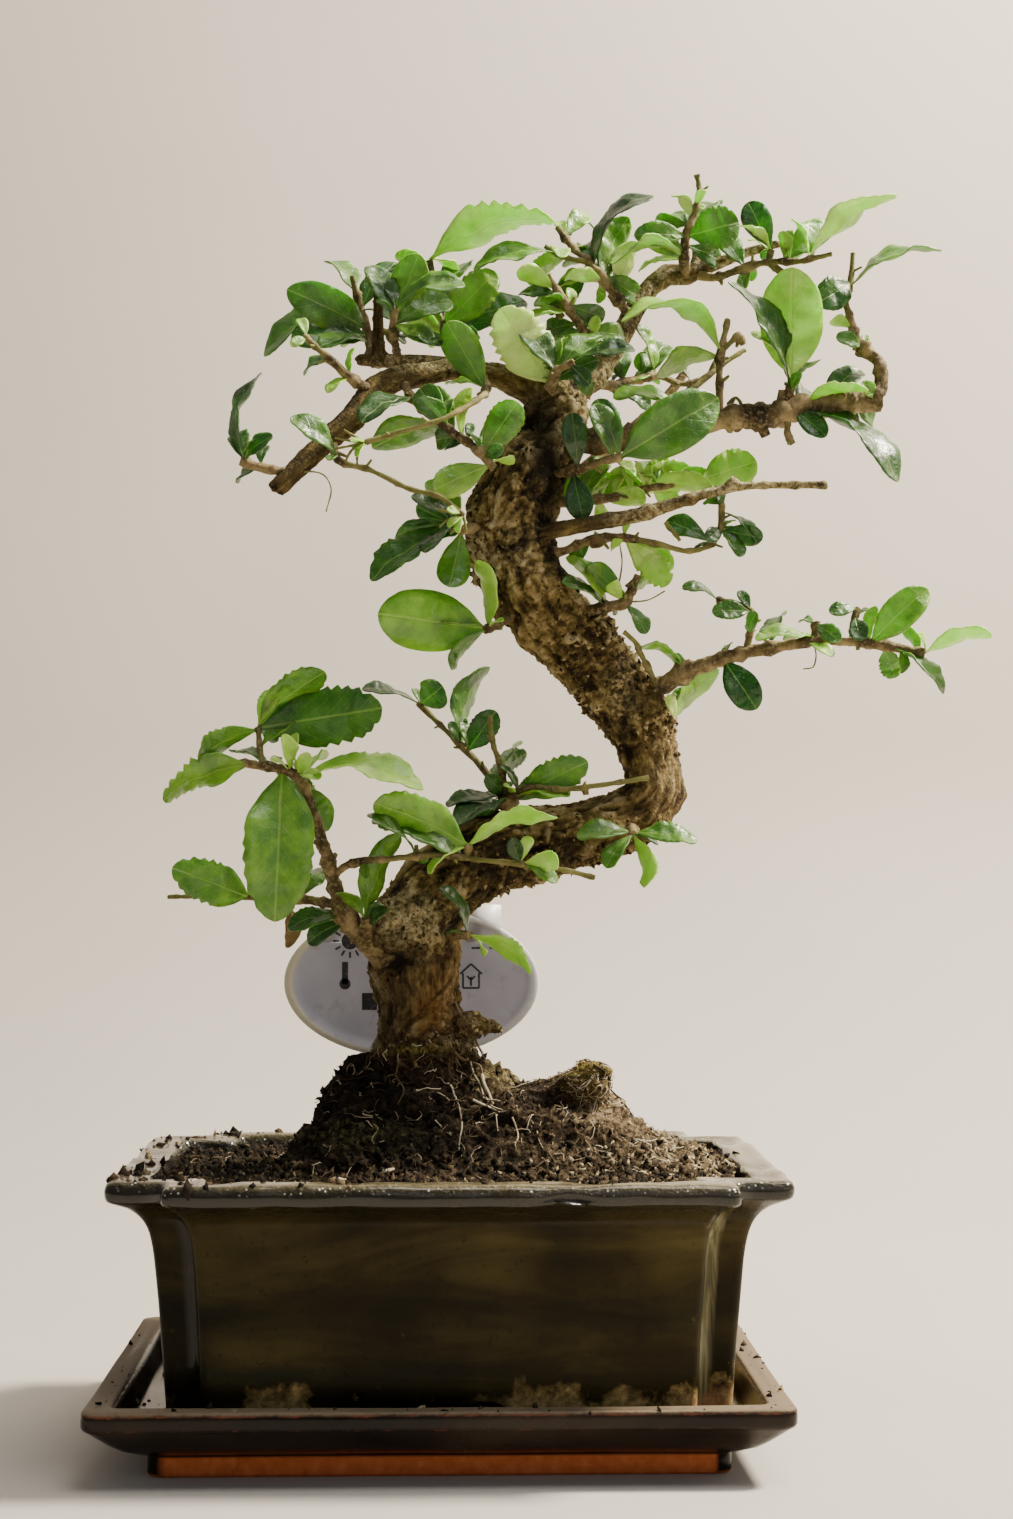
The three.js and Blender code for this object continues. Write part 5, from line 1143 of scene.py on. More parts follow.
def layGrain(mesh):
    # grain: how far along its limb a point lies, and its place across it; girth: how thick the wood is there
    stations = []
    for index, line in enumerate(woodLines.values()):
        route = smoothRoute([sight(*spot) for spot in line], 6)
        run, side = index * 1.7, None
        for k, place in enumerate(route):
            along = (route[min(k + 1, len(route) - 1)] - route[max(k - 1, 0)]).normalized()
            side = along.orthogonal() if side is None else side - along * side.dot(along)
            side.normalize()
            run += (place - route[k - 1]).length if k else 0
            turned = Matrix.Rotation(run * woodLook["twist"], 3, along) @ side
            stations.append((place, along, turned, along.cross(turned), run))
    tree = KDTree(len(stations))
    for index, station in enumerate(stations):
        tree.insert(station[0], index)
    tree.balance()
    inside = surfaceOf(mesh)
    grain, girth = [], []
    for vertex in mesh.vertices:
        place, along, side, other, run = stations[tree.find(vertex.co)[1]]
        off = vertex.co - place
        grain.append(((run + off.dot(along)) * woodLook["grainStretch"], off.dot(side), off.dot(other)))
        hit = inside.ray_cast(vertex.co - vertex.normal * 0.0004, -vertex.normal, 0.05)
        girth.append(hit[3] if hit[0] else 0.05)
    setVectors(mesh, "grain", grain)
    girth = numpy.clip((numpy.array(girth) - 0.0025) / 0.014, 0.06, 1)
    setFloats(mesh, "girth", girth)
    return girth


def makeReliefTree():
    # lumps, furrows, cracks and crumbs raised from a surface, laid along the grain stored on it
    heights = {name.capitalize(): ("value", woodLook[name]) for name in ("lumps", "furrows", "cracks",
        "crumbs")}
    tree, given, result = newGeometry("groundRelief", Ground=("geometry", None), Fineness=("value", 1.0),
        **heights)
    named = functools.partial(stored, tree)
    grain = vcalc("SCALE", named("grain", "FLOAT_VECTOR"), scale=given["Fineness"])
    place = vcalc("SCALE", geo(tree, "InputPosition"), scale=given["Fineness"])
    crumb, fibre, girth = named("crumb"), named("fibre"), named("girth")
    wobble = addNode(tree, "ShaderNodeTexNoise", {"Vector": place, "Scale": 240.0}).outputs[1]
    bent = vcalc("ADD", grain, vcalc("SCALE", wobble, scale=0.0026))
    lump = sub(cloud(vcalc("ADD", vcalc("SCALE", grain, scale=0.7), place), 48.0, 3.0), 0.5)
    furrow = calc("ABSOLUTE", sub(cloud(bent, 200.0, 3.0, 0.6), 0.5))
    furrow = sub(0.5, mul(furrow, 4.5))
    crack = remap(cells(bent, 210.0, "DISTANCE_TO_EDGE"), 0.02, 0.16, 1.0, 0.0, smooth=True)
    drawn = vcalc("ADD", vcalc("SCALE", place, scale=0.35), vcalc("SCALE", bent, scale=0.8))
    grit = remap(cloud(drawn, 460.0, 3.0, 0.6), 0.46, 0.7, 0.0, 0.32)
    grit = mulAdd(remap(cloud(place, 400.0, 3.0, 0.6), 0.44, 0.66), crumb, grit)
    clump = remap(cloud(place, 150.0, 2.0), 0.42, 0.6, 0.1, 1.0)
    rough = sub(1.0, masked(fibre, 0.6))
    height = mul(lump, given["Lumps"])
    calm = sub(1.0, masked(crumb, 0.55))
    height = mulAdd(furrow, mul(given["Furrows"], calm), height)
    height = sub(height, mul(crack, given["Cracks"]))
    crumbs = mul(grit, clump)
    height = mulAdd(crumbs, given["Crumbs"], height)
    height = mul(mul(height, rough), girth)
    offset = vcalc("SCALE", geo(tree, "InputNormal"), scale=height)
    kept = store(given["Ground"], "relief", mul(height, 1000.0))
    return endTree(tree, geo(tree, "SetPosition", {"Geometry": kept, "Offset": offset}), given, result)


def makeBark():
    made, tree, shader, place = newMaterial("bark_skin", (0.3, 0.22, 0.13, 1), Specular_IOR_Level=0.25)
    grain = addNode(tree, "ShaderNodeAttribute", attribute_name="grain").outputs["Vector"]
    broad, fine = cloud(grain, 70.0, 4.0), cloud(place, 620.0, 5.0, 0.7)
    streak = cloud(stretch(grain, (0.6, 1.0, 1.0)), 620.0, 4.0, 0.65)
    rounder = masked(worn(tree, "crumb"), 0.8)
    streak = addNode(tree, "ShaderNodeMix", {0: rounder, 2: streak, 3: fine}).outputs[0]
    # colour follows the relief: furrows and cracks are painted darker as shade, and raised ridges lighter
    raised = remap(worn(tree, "relief"), -1.1, 1.5)
    base = mul(raised, 0.5)
    base = mulAdd(streak, 0.46, base)
    base = mulAdd(fine, 0.22, base)
    base = mulAdd(broad, 0.34, sub(base, 0.2))
    stops = [(0.3, rgb(16, 11, 5)), (0.43, rgb(48, 35, 14)), (0.56, rgb(96, 79, 37)),
        (0.69, rgb(154, 132, 78))]
    colour = ramp(base, stops + [(0.84, rgb(200, 184, 140))])
    smooth = ramp(streak, [(0.36, rgb(40, 27, 12)), (0.5, rgb(104, 80, 42)), (0.64, rgb(196, 168, 112))])
    colour = tint(masked(worn(tree, "fibre"), 0.75), colour, smooth)
    # where pale marks lie, raised parts take a pale colour: pale bark and lichen in some places, painted
    # light on sunlit tops and sides of limbs in others
    light = remap(add(raised, fine), 0.6, 1.2)
    light = masked(worn(tree, "pale"), light)
    paleBarkAndLight = ramp(fine, [(0.35, rgb(62, 50, 26)), (0.46, rgb(158, 142, 92)), (0.56, rgb(206, 192, 142)),
        (0.68, rgb(230, 222, 188))])
    colour = tint(mul(light, 0.85), colour, paleBarkAndLight)
    rust = masked(worn(tree, "rust"), remap(streak, 0.4, 0.6, 0.1, 0.7))
    colour = tint(rust, colour, rgb(126, 82, 30))
    dark = masked(worn(tree, "shade"), 0.85)
    colour = tint(dark, colour, rgb(30, 21, 13))
    earth = masked(worn(tree, "earth"), remap(fine, 0.3, 0.5, 0.8, 1.0))
    soiled = ramp(fine, [(0.35, rgb(20, 14, 8)), (0.55, rgb(52, 38, 24)), (0.72, rgb(112, 92, 66))])
    colour = tint(earth, colour, soiled)
    moss = masked(worn(tree, "moss"), remap(fine, 0.4, 0.56))
    mossy = ramp(streak, [(0.4, rgb(74, 70, 26)), (0.55, rgb(134, 118, 48)), (0.7, rgb(188, 178, 116))])
    colour = tint(moss, colour, mossy)
    wire(shader.inputs, Base_Color=colour, Roughness=remap(fine, 0.3, 0.7, 0.95, 0.7))
    height = mulAdd(cells(place, 1100.0), 0.3, fine)
    bump(shader, mulAdd(streak, 0.8, height), 0.0012, 1.0)
    return made


def makeFlakeTree():
    # loose crumbs of bark or soil, strewn where a mask allows them
    tree, given, result = newGeometry("crumbScatter", Ground=("geometry", None), Density=("value", 30000.0),
        Smallest=("value", 0.0005), Largest=("value", 0.0013), Flatness=("value", 0.6), Seed=("count", 3))
    dense = mul(stored(tree, "strewn"), given["Density"])
    dots = geo(tree, "DistributePointsOnFaces", {"Mesh": given["Ground"], "Seed": given["Seed"],
        "Density": dense})
    # eight faces are enough for a crumb
    ball = geo(tree, "MeshUVSphere", {"Segments": 4, "Rings": 2, "Radius": 1.0})

    def chance(low, high, offset):
        made = addNode(tree, "FunctionNodeRandomValue", {2: low, 3: high}, data_type="FLOAT")
        feed(tree, made.inputs["Seed"], add(given["Seed"], offset))
        return made.outputs[1]

    size = calc("POWER", chance(0.0, 1.0, 1.0), 2.4)
    size = mulAdd(size, sub(given["Largest"], given["Smallest"]), given["Smallest"])
    squash = mul(size, chance(given["Flatness"], 1.0, 2.0))
    long = mul(size, chance(0.9, 1.9, 3.0))
    turns = packed(*(chance(0, 6.3, offset) for offset in (4.0, 5.0, 6.0)))
    copies = geo(tree, "InstanceOnPoints", {"Points": dots, "Instance": ball, "Rotation": turns,
        "Scale": packed(long, size, squash)})
    toned = store(copies, "tone", chance(0.0, 1.0, 7.0), domain="INSTANCE")
    real = geo(tree, "RealizeInstances", {0: toned})
    place = {"Vector": geo(tree, "InputPosition"), "Scale": 900.0}
    nudge = addNode(tree, "ShaderNodeTexNoise", place).outputs[1]
    nudge = vcalc("SCALE", vcalc("SUBTRACT", nudge, (0.5, 0.5, 0.5)), scale=mul(given["Smallest"], 2.2))
    return endTree(tree, geo(tree, "SetPosition", {"Geometry": real, "Offset": nudge}), given, result)


def strewn(name, ground, mask, material, slot, values):
    crumbs = newObject(name, ground.data.copy())
    setFloats(crumbs.data, "strewn", numpy.clip(mask, 0, 1))
    giveTree(crumbs, flakeTree, {"Material": material, **values})
    return finishPiece(settle(crumbs), slot)


def floatsOf(mesh, name):
    values = numpy.empty(len(mesh.vertices), "f")
    mesh.attributes[name].data.foreach_get("value", values)
    return values


def makeTrunk():
    trunk = remeshed(copyOfNode("trunk"), woodLook["voxel"], woodLook["smoothing"])
    mesh = trunk.data
    girth = layGrain(mesh)
    u, v, facing = giveMasks(mesh, woodMarks, [name for name in woodMarks if name not in ("push", "tuft")])
    tuft = marked(u, v, woodMarks["tuft"])
    mesh.attributes["girth"].data.foreach_set("value", numpy.maximum(girth, tuft).astype("f"))
    push = marked(u, v, woodMarks["push"]) * numpy.clip(facing * 2 + 0.3, 0, 1) * mm
    moved = places(mesh) + normalsOf(mesh) * push[:, None]
    mesh.vertices.foreach_set("co", moved.ravel().astype("f"))
    giveTree(trunk, reliefTree, {"Material": bark})
    settle(trunk)
    trunk.name = "wood_trunk"
    mask = (floatsOf(trunk.data, "crumb") * 1.1 - 0.2) * (floatsOf(trunk.data, "girth") > 0.5)
    flakes = strewn("bark_crumbs", trunk, mask, crumbBark, "bark", barkFlakes)
    print("trunk faces", len(trunk.data.polygons), "crumbs", len(flakes.data.polygons))
    return finishPiece(trunk, "bark", "trunk")


def makeCrumbs(name, shown, stops, light=0.25, gloss=0.9):
    made, tree, shader, place = newMaterial(name, shown, Roughness=gloss, Specular_IOR_Level=0.2)
    fine = cloud(place, 1500.0, 3.0)
    tone = mul(worn(tree, "tone"), 0.85)
    # a crumb's own random tone, lighter where the ground's pale marks lie, partly painted light, and darker
    # where its shade marks lie, as painted shade
    tone = mulAdd(worn(tree, "pale"), light, mulAdd(fine, 0.3, tone))
    tone = sub(tone, mul(worn(tree, "shade"), light))
    colour = ramp(tone, stops)
    wire(shader.inputs, Base_Color=colour)
    bump(shader, fine, 0.0004, 0.8)
    return made


# soil and roots

# lengths and heights in metres
soilLook = {"voxel": 0.0013, "smoothing": 2, "floor": 0.058, "slope": 0.068, "hairs": 3400}
soilLook |= {"hairSeed": 5, "hairRadius": (0.00008, 0.00021), "hairStep": (0.0008, 0.0026)}
soilLook |= {"hairLift": (0.0001, 0.0012), "hairsAbove": 0.07, "hairsBelow": 0.122, "rootSides": 4}
soilRelief = {"Lumps": 0.0075, "Furrows": 0.0018, "Cracks": 0.0014, "Crumbs": 0.002, "Fineness": 1.25}
soilCrumbs = {"Density": 1000000.0, "Smallest": 0.0002, "Largest": 0.0015, "Flatness": 0.35, "Seed": 11}
soilMarks = {
    "crumb": [(450, 1120, 200, 90, 1.0), (600, 1120, 130, 60, 1.0), (690, 1165, 90, 40, 1.0),
        (250, 1160, 140, 35, 1.0)],
    "moss": [(420, 1049, 44, 6, 1.0), (590, 1072, 26, 16, 1.0), (345, 1135, 60, 16, 0.2),
        (505, 1075, 30, 14, 0.5)],
    # pale is partly pale crumbs, fibres and lichen, partly painted light on the mound's sunlit right side
    "pale": [(700, 1160, 60, 26, 0.8), (604, 1108, 30, 22, 1.3), (275, 1168, 50, 12, 0.4),
        (650, 1130, 40, 30, 0.7), (560, 1160, 60, 20, 0.4), (470, 1165, 60, 12, 0.3),
        (530, 1080, 40, 14, 0.4)],
    "shade": [(360, 1110, 80, 60, 0.9), (430, 1140, 110, 36, 0.6), (230, 1152, 90, 18, 1.0),
        (400, 1070, 60, 24, 0.6)],
    "push": [(612, 1100, 26, 18, 3.4), (590, 1092, 24, 14, 2.0), (545, 1082, 30, 10, -1.0),
        (345, 1075, 24, 26, 1.5)],
}
# roots seen lying on the mound: width, tone and their u, v points
rootsSeen = [
    (1.6, 0.9, [(416, 1090), (430, 1091), (439, 1093), (447, 1098), (450, 1101)]),
    (2.4, 0.95, [(448, 1083), (452, 1087), (454, 1094), (458, 1103), (460, 1110), (461, 1117), (462, 1127),
        (460, 1138), (459, 1148), (462, 1157)]),
    (4.5, 0.85, [(482, 1075), (484, 1084), (489, 1094), (493, 1104)]),
    (2.8, 0.95, [(473, 1100), (484, 1105), (491, 1108), (499, 1112), (505, 1111)]),
    (1.3, 0.85, [(496, 1114), (497, 1124), (498, 1131)]),
    (2.0, 0.8, [(512, 1117), (516, 1127), (518, 1138), (515, 1145), (520, 1155), (527, 1159)]),
    (1.5, 0.75, [(537, 1131), (539, 1140), (543, 1148), (548, 1155)]),
    (1.3, 0.8, [(435, 1120), (442, 1127), (448, 1133), (453, 1133)]),
    (3.4, 0.5, [(455, 1052), (461, 1058), (472, 1062), (480, 1066), (483, 1076)]),
    (1.8, 0.6, [(456, 1070), (466, 1075), (472, 1080), (482, 1080)]),
    (2.4, 0.1, [(594, 1065), (604, 1071), (610, 1080), (616, 1090), (624, 1103), (634, 1117), (645, 1129),
        (653, 1143), (660, 1156)]),
    (1.6, 0.6, [(548, 1130), (553, 1142), (549, 1152), (556, 1163)]),
    (1.5, 0.65, [(585, 1140), (592, 1150), (588, 1160)]),
    (1.4, 0.7, [(365, 1120), (378, 1128), (372, 1140), (380, 1150)]),
    (1.5, 0.8, [(314, 1165), (313, 1172), (315, 1179)]),
    (5, 1.0, [(648, 1184), (656, 1185), (664, 1183)]),
    (4, 0.95, [(338, 1179), (344, 1180), (350, 1180)]),
    (6, 0.9, [(381, 1173), (388, 1171), (394, 1169)]),
    (3, 0.9, [(605, 1171), (610, 1171), (614, 1171)]),
    (4, 1.0, [(708, 1181), (711, 1184), (713, 1187)]),
    (2.0, 0.45, [(400, 1060), (396, 1075), (404, 1090), (398, 1104)]),
    (5, 0.3, [(464, 1026), (467, 1040), (476, 1056)]),
    (3, 0.45, [(472, 1026), (479, 1042), (484, 1058)]),
    (4, 0.4, [(455, 1004), (461, 1016), (470, 1026)]),
    (1.6, 0.3, [(496, 1024), (503, 1032), (505, 1042), (508, 1049)]),
    (2.6, 0.9, [(470, 1062), (474, 1074), (480, 1084), (484, 1098)]),
    (2.2, 0.85, [(486, 1098), (492, 1106), (503, 1110)]),
    (1.8, 0.35, [(430, 1058), (434, 1075), (428, 1088), (436, 1104)]),
    (1.7, 0.55, [(620, 1120), (612, 1132), (618, 1146), (610, 1158)]),
]

# where fine hairs grow thickest
hairMarks = [(480, 1022, 30, 18, 3.0), (590, 1080, 40, 30, 2.0), (690, 1152, 70, 30, 2.0),
    (470, 1110, 90, 50, 1.0), (620, 1130, 70, 40, 1.2), (265, 1160, 100, 20, 0.5), (425, 1050, 60, 14, 1.5)]


def makeSoilSkin():
    made, tree, shader, place = newMaterial("soil_skin", (0.06, 0.045, 0.03, 1), Roughness=0.95,
        Specular_IOR_Level=0.15)
    fine = cloud(place, 420.0, 5.0, 0.7)
    bits = cells(place, 620.0)
    base = mulAdd(bits, 0.3, mul(fine, 0.6))
    base = mulAdd(remap(worn(tree, "relief"), -1.5, 2.0), 0.3, base)
    stops = [(0.3, rgb(12, 9, 5)), (0.5, rgb(34, 26, 17)), (0.66, rgb(62, 50, 35)), (0.9, rgb(118, 102, 78))]
    colour = ramp(base, stops)
    # pale marks lighten the soil: pale crumbs, fibres and lichen, and painted light on the mound's sunlit
    # right side
    paleSoilAndLight = ramp(fine, [(0.3, rgb(74, 60, 44)), (0.5, rgb(122, 104, 78)), (0.7, rgb(178, 160, 130))])
    colour = tint(masked(worn(tree, "pale"), 0.7), colour, paleSoilAndLight)
    colour = tint(masked(worn(tree, "shade"), 0.7), colour, rgb(18, 13, 8))
    moss = masked(worn(tree, "moss"), remap(fine, 0.42, 0.56))
    colour = tint(moss, colour, ramp(fine, [(0.45, rgb(92, 84, 36)), (0.7, rgb(186, 176, 120))]))
    wire(shader.inputs, Base_Color=colour)
    bump(shader, mulAdd(bits, 0.5, fine), 0.0014, 1.0)
    return made


def cutLevel(obj, height):
    # the parts above and below a level, each closed
    halves = []
    for keepTop in (True, False):
        half = bmesh.new()
        half.from_mesh(obj.data)
        parts = half.verts[:] + half.edges[:] + half.faces[:]
        cut = bmesh.ops.bisect_plane(half, geom=parts, plane_co=(0, 0, height), plane_no=(0, 0, 1),
            clear_inner=keepTop, clear_outer=not keepTop)
        rim = [part for part in cut["geom_cut"] if isinstance(part, bmesh.types.BMEdge)]
        bmesh.ops.edgeloop_fill(half, edges=rim)
        bmesh.ops.recalc_face_normals(half, faces=half.faces)
        halves.append(newObject(obj.name, meshOf(half, obj.name)))
    bpy.data.objects.remove(obj)
    return halves


def makeSoil():
    top, bulk = cutLevel(copyOfNode("soil"), soilLook["floor"])
    remeshed(top, soilLook["voxel"], soilLook["smoothing"])
    u, v = giveMasks(top.data, soilMarks, [name for name in soilMarks if name != "push"])[:2]
    lifted = places(top.data) + numpy.array((0, 0, 1)) * (marked(u, v, soilMarks["push"]) * mm)[:, None]
    top.data.vertices.foreach_set("co", lifted.ravel().astype("f"))
    setVectors(top.data, "grain", places(top.data))
    setFloats(top.data, "girth", numpy.ones(len(top.data.vertices)))
    giveTree(top, reliefTree, {"Material": soilSkin, **soilRelief})
    settle(top)
    spots, normals = places(top.data), normalsOf(top.data)
    bare = numpy.clip(normals[:, 2] * 3 + 0.6, 0, 1) * (spots[:, 2] > soilLook["slope"])
    bare *= 1 - 0.86 * numpy.clip((spots[:, 2] - 0.083) / 0.007, 0, 1)
    patches = numpy.array([noise.noise(Vector(spot) * 130) for spot in spots])
    bare *= numpy.clip(0.75 + 1.6 * patches, 0.12, 1)
    crumbs = strewn("soil_crumbs", top, bare, crumbSoil, "soil", soilCrumbs)
    bulk.data.materials.clear()
    bulk.data.materials.append(soilSkin)
    soil = joined("potting_soil", [top, bulk])
    print("soil faces", len(soil.data.polygons), "crumbs", len(crumbs.data.polygons))
    return finishPiece(soil, "soil", "soil")


def tubes(name, routes, material):
    # smooth tubes along routes, lists of (place, radius, tone)
    vertices, edges, thick, tones = [], [], [], []
    for route in routes:
        for k, (place, radius, tone) in enumerate(route):
            if k:
                edges.append((len(vertices) - 1, len(vertices)))
            vertices.append(place)
            thick.append(radius)
            tones.append(tone)
    lines = meshFrom(name, vertices, [], edges)
    setFloats(lines, "thick", thick)
    setFloats(lines, "tone", tones)
    obj = newObject(name, lines)
    giveTree(obj, twigTree, {"Material": material, "Sides": soilLook["rootSides"], "Knobbly": 0.0})
    return settle(obj)


def makeRoots(soil, trunk):
    surface = surfaceOf(soil.data, trunk.data)
    routes = []
    for width, tone, marks in rootsSeen:
        route = []
        for u, v in marks:
            place, _, _, away = surface.ray_cast(eye, rayTo(u, v).normalized())
            if place is None:
                place = surface.find_nearest(sight(u, v, -6))[0]
                away = (place - eye).length
            route.append(place - rayTo(u, v).normalized() * width * 0.00012)
        radius = width / 2 * away / view["focal"] * 1.05
        smooth = smoothRoute(route, 4)
        routes.append([(p, radius * (1 - 0.55 * k / len(smooth)), tone) for k, p in enumerate(smooth)])
    draw = random.Random(soilLook["hairSeed"])
    low, high = soilLook["hairsAbove"], soilLook["hairsBelow"]
    ground = [p for p in soil.data.polygons if p.center.z > low and p.normal.z > -0.1]
    ground += [p for p in trunk.data.polygons if low < p.center.z < high]
    ground = [(p.center.copy(), p.normal.copy()) for p in ground]
    spots = numpy.array([tuple(centre) for centre, normal in ground])
    u, v = inPicture(spots)[:2]
    pale = marked(u, v, soilMarks["pale"])
    weights = 0.25 + marked(u, v, hairMarks)
    for index in draw.choices(range(len(ground)), weights, k=soilLook["hairs"]):
        place, normal = ground[index]
        heading = Vector((draw.uniform(-1, 1), draw.uniform(-1, 1), draw.uniform(-1.2, 0.2))).normalized()
        radius = draw.uniform(*soilLook["hairRadius"])
        tone, step = min(draw.random() ** 1.7 + 0.3 * pale[index], 1), draw.uniform(*soilLook["hairStep"])
        route = [(place - normal * 0.0004, radius, tone)]
        for k in range(draw.randint(3, 5)):
            heading = (heading + Vector([draw.uniform(-0.9, 0.9) for _ in range(3)])).normalized()
            hit, normal = surface.find_nearest(place + heading * step)[:2]
            place = hit + normal * (draw.uniform(*soilLook["hairLift"]) if k < 3 else 0.0002)
            route.append((place, radius * (1 - 0.15 * k), tone))
        routes.append(route)
    roots = tubes("fine_roots", routes, rootSkin)
    print("root faces", len(roots.data.polygons))
    return finishPiece(roots, "soil")


bark, soilSkin = makeBark(), makeSoilSkin()
barkTones = [(0.1, rgb(26, 19, 10)), (0.45, rgb(70, 54, 30)), (0.8, rgb(116, 96, 60)),
    (1.0, rgb(176, 156, 112))]
soilTones = [(0.1, rgb(10, 7, 4)), (0.5, rgb(30, 23, 14)), (0.8, rgb(62, 49, 33)), (0.95, rgb(104, 87, 62))]
soilTones += [(1.0, rgb(178, 162, 128))]
rootTones = [(0.0, rgb(26, 18, 11)), (0.4, rgb(74, 58, 38)), (0.7, rgb(150, 130, 98)),
    (1.0, rgb(214, 202, 174))]
crumbBark = makeCrumbs("bark_crumb", (0.3, 0.22, 0.13, 1), barkTones)
crumbSoil = makeCrumbs("soil_crumb", (0.06, 0.045, 0.03, 1), soilTones)
rootSkin = makeCrumbs("root_skin", (0.2, 0.16, 0.1, 1), rootTones, 0.0, 0.7)
reliefTree, flakeTree = makeReliefTree(), makeFlakeTree()
trunk = makeTrunk()
soil = makeSoil()
makeRoots(soil, trunk)
print("trunk, soil and roots made")


# pot and tray

# half widths, heights and radii in millimetres; wave, rimWave, ripple and inward in metres
potLook = {
    "foot": (83, 71.5, 62, 52), "rim": (100, 82.6, 77, 64), "outerRound": 3.4, "innerRound": 2.6,
    "archHalfWidth": 22, "sideArchHalfWidth": 16, "archHeight": 7.6, "bottom": 13.8,
    "drainRadius": 6, "drainAcross": 38, "wave": 0.0007, "rimWave": 0.0013, "ripple": 0.00018,
    "inward": 0.0003,
}
rimCrumbs = {"Density": 42000.0, "Smallest": 0.0003, "Largest": 0.0021, "Flatness": 0.4, "Seed": 23}
# height, share of the way from foot to rim, inset; the outside is drawn smooth between its rows
potUnder = [(24, 0, 8), (23.6, 0, 6.2), (14.8, 0, 6), (14.1, 0, 5.5), (13.8, 0, 4.8), (13.8, 0, 1.5),
    (14.05, 0, 0.5)]
potOutside = [(14.8, 0, 0), (27, 0.045, 0), (40, 0.09, 0), (53, 0.155, 0), (64, 0.22, 0), (70, 0.31, 0),
    (73.5, 0.44, 0), (76, 0.62, 0), (77.5, 0.83, 0), (78.4, 0.95, 0), (79.8, 0.99, 0), (81.6, 1.0, 0),
    (83.4, 1.0, 0.5)]
potInside = [(84.6, 1, 1.6), (85, 1, 3.6), (84.5, 1, 7), (84.7, 1, 10), (84.2, 1, 11.4), (83.2, 1, 12),
    (76, 0.62, 9.5), (66, 0.24, 6), (48, 0.15, 6), (31, 0.06, 6), (29.3, 0.05, 7.5), (29, 0.05, 12)]
trayLook = {"middleX": -3, "foot": (84.3, 61), "rim": (101, 78), "round": 5, "wave": 0.0004}
trayCrumbs = {"Density": 24000.0, "Smallest": 0.0002, "Largest": 0.0016, "Flatness": 0.4, "Seed": 31}
# part, inset, height
trayRows = [("foot", 9, 0.9), ("foot", 8, 0.1), ("foot", 1.2, 0.0), ("foot", 0.3, 0.35), ("foot", 0, 1.2),
    ("foot", 0, 4), ("foot", 0, 5.9), ("foot", -0.5, 6.5), ("foot", -3, 7.1), ("rim", 10, 9),
    ("rim", 7, 11.1), ("rim", 4, 13.6), ("rim", 1.6, 15.7), ("rim", 0.5, 16.5), ("rim", 0.05, 17.4),
    ("rim", 0, 19.4), ("rim", 0.05, 21), ("rim", 0.5, 21.7), ("rim", 1.3, 21.95), ("rim", 4, 21.6),
    ("rim", 6.6, 21.95), ("rim", 7.6, 21.6), ("rim", 9, 18.6), ("rim", 10.8, 14.8), ("rim", 11.6, 13.9),
    ("rim", 13.5, 13.55), ("rim", 20, 13.5)]


def roundedLoop(corners, radii, counts, arc=5):
    # a closed outline with right-angled corners rounded; returns points and how near each is to a corner
    points, marks = [], []
    for k, here in enumerate(corners):
        before, after = corners[k - 1], corners[(k + 1) % len(corners)]
        come = (here - before).normalized()
        leave = (after - here).normalized()
        radius = radii[k]
        middle = here - come * radius + leave * radius
        for i in range(arc + 1):
            angle = math.radians(90 * i / arc)
            points.append(middle - leave * (radius * math.cos(angle)) + come * (radius * math.sin(angle)))
            marks.append(k)
        start, end = here + leave * radius, after - leave * radii[(k + 1) % len(corners)]
        for i in range(1, counts[k]):
            points.append(start.lerp(end, i / counts[k]))
            marks.append(-1)
    return points, marks


def skin(name, rings):
    # closed surface through rings of equal count, with a cap at both ends
    count = len(rings[0])
    vertices = [p for ring in rings for p in ring]
    faces = []
    for r in range(len(rings) - 1):
        for k in range(count):
            n = (k + 1) % count
            faces.append((r * count + k, r * count + n, (r + 1) * count + n, (r + 1) * count + k))
    faces.append(tuple(reversed(range(count))))
    faces.append(tuple((len(rings) - 1) * count + k for k in range(count)))
    mesh = meshFrom(name, vertices, faces)
    work = bmesh.new()
    work.from_mesh(mesh)
    bmesh.ops.recalc_face_normals(work, faces=work.faces)
    work.to_mesh(mesh)
    work.free()
    return mesh


def potLoop(z, share, inset):
    sideWidth, panelWidth, panelDepth, sideDepth = (
        a + (b - a) * share - inset for a, b in zip(potLook["foot"], potLook["rim"]))
    quarter = [(panelWidth, -panelDepth), (panelWidth, -sideDepth), (sideWidth, -sideDepth)]
    corners = quarter + [(x, -y) for x, y in reversed(quarter)]
    corners += [(-x, y) for x, y in reversed(corners)]
    corners = [Vector((x, y, z)) * mm for x, y in corners]
    outer, inner = potLook["outerRound"] * mm, potLook["innerRound"] * mm
    radii = [outer, inner, outer, outer, inner, outer] * 2
    return roundedLoop(corners, radii, [3, 3, 28, 3, 3, 44] * 2)


def smoothRows(rows, perSpan):
    route = smoothRoute([Vector((share * 17, inset, z)) for z, share, inset in rows], perSpan)
    return [(p.z, p.x / 17, p.y) for p in route]


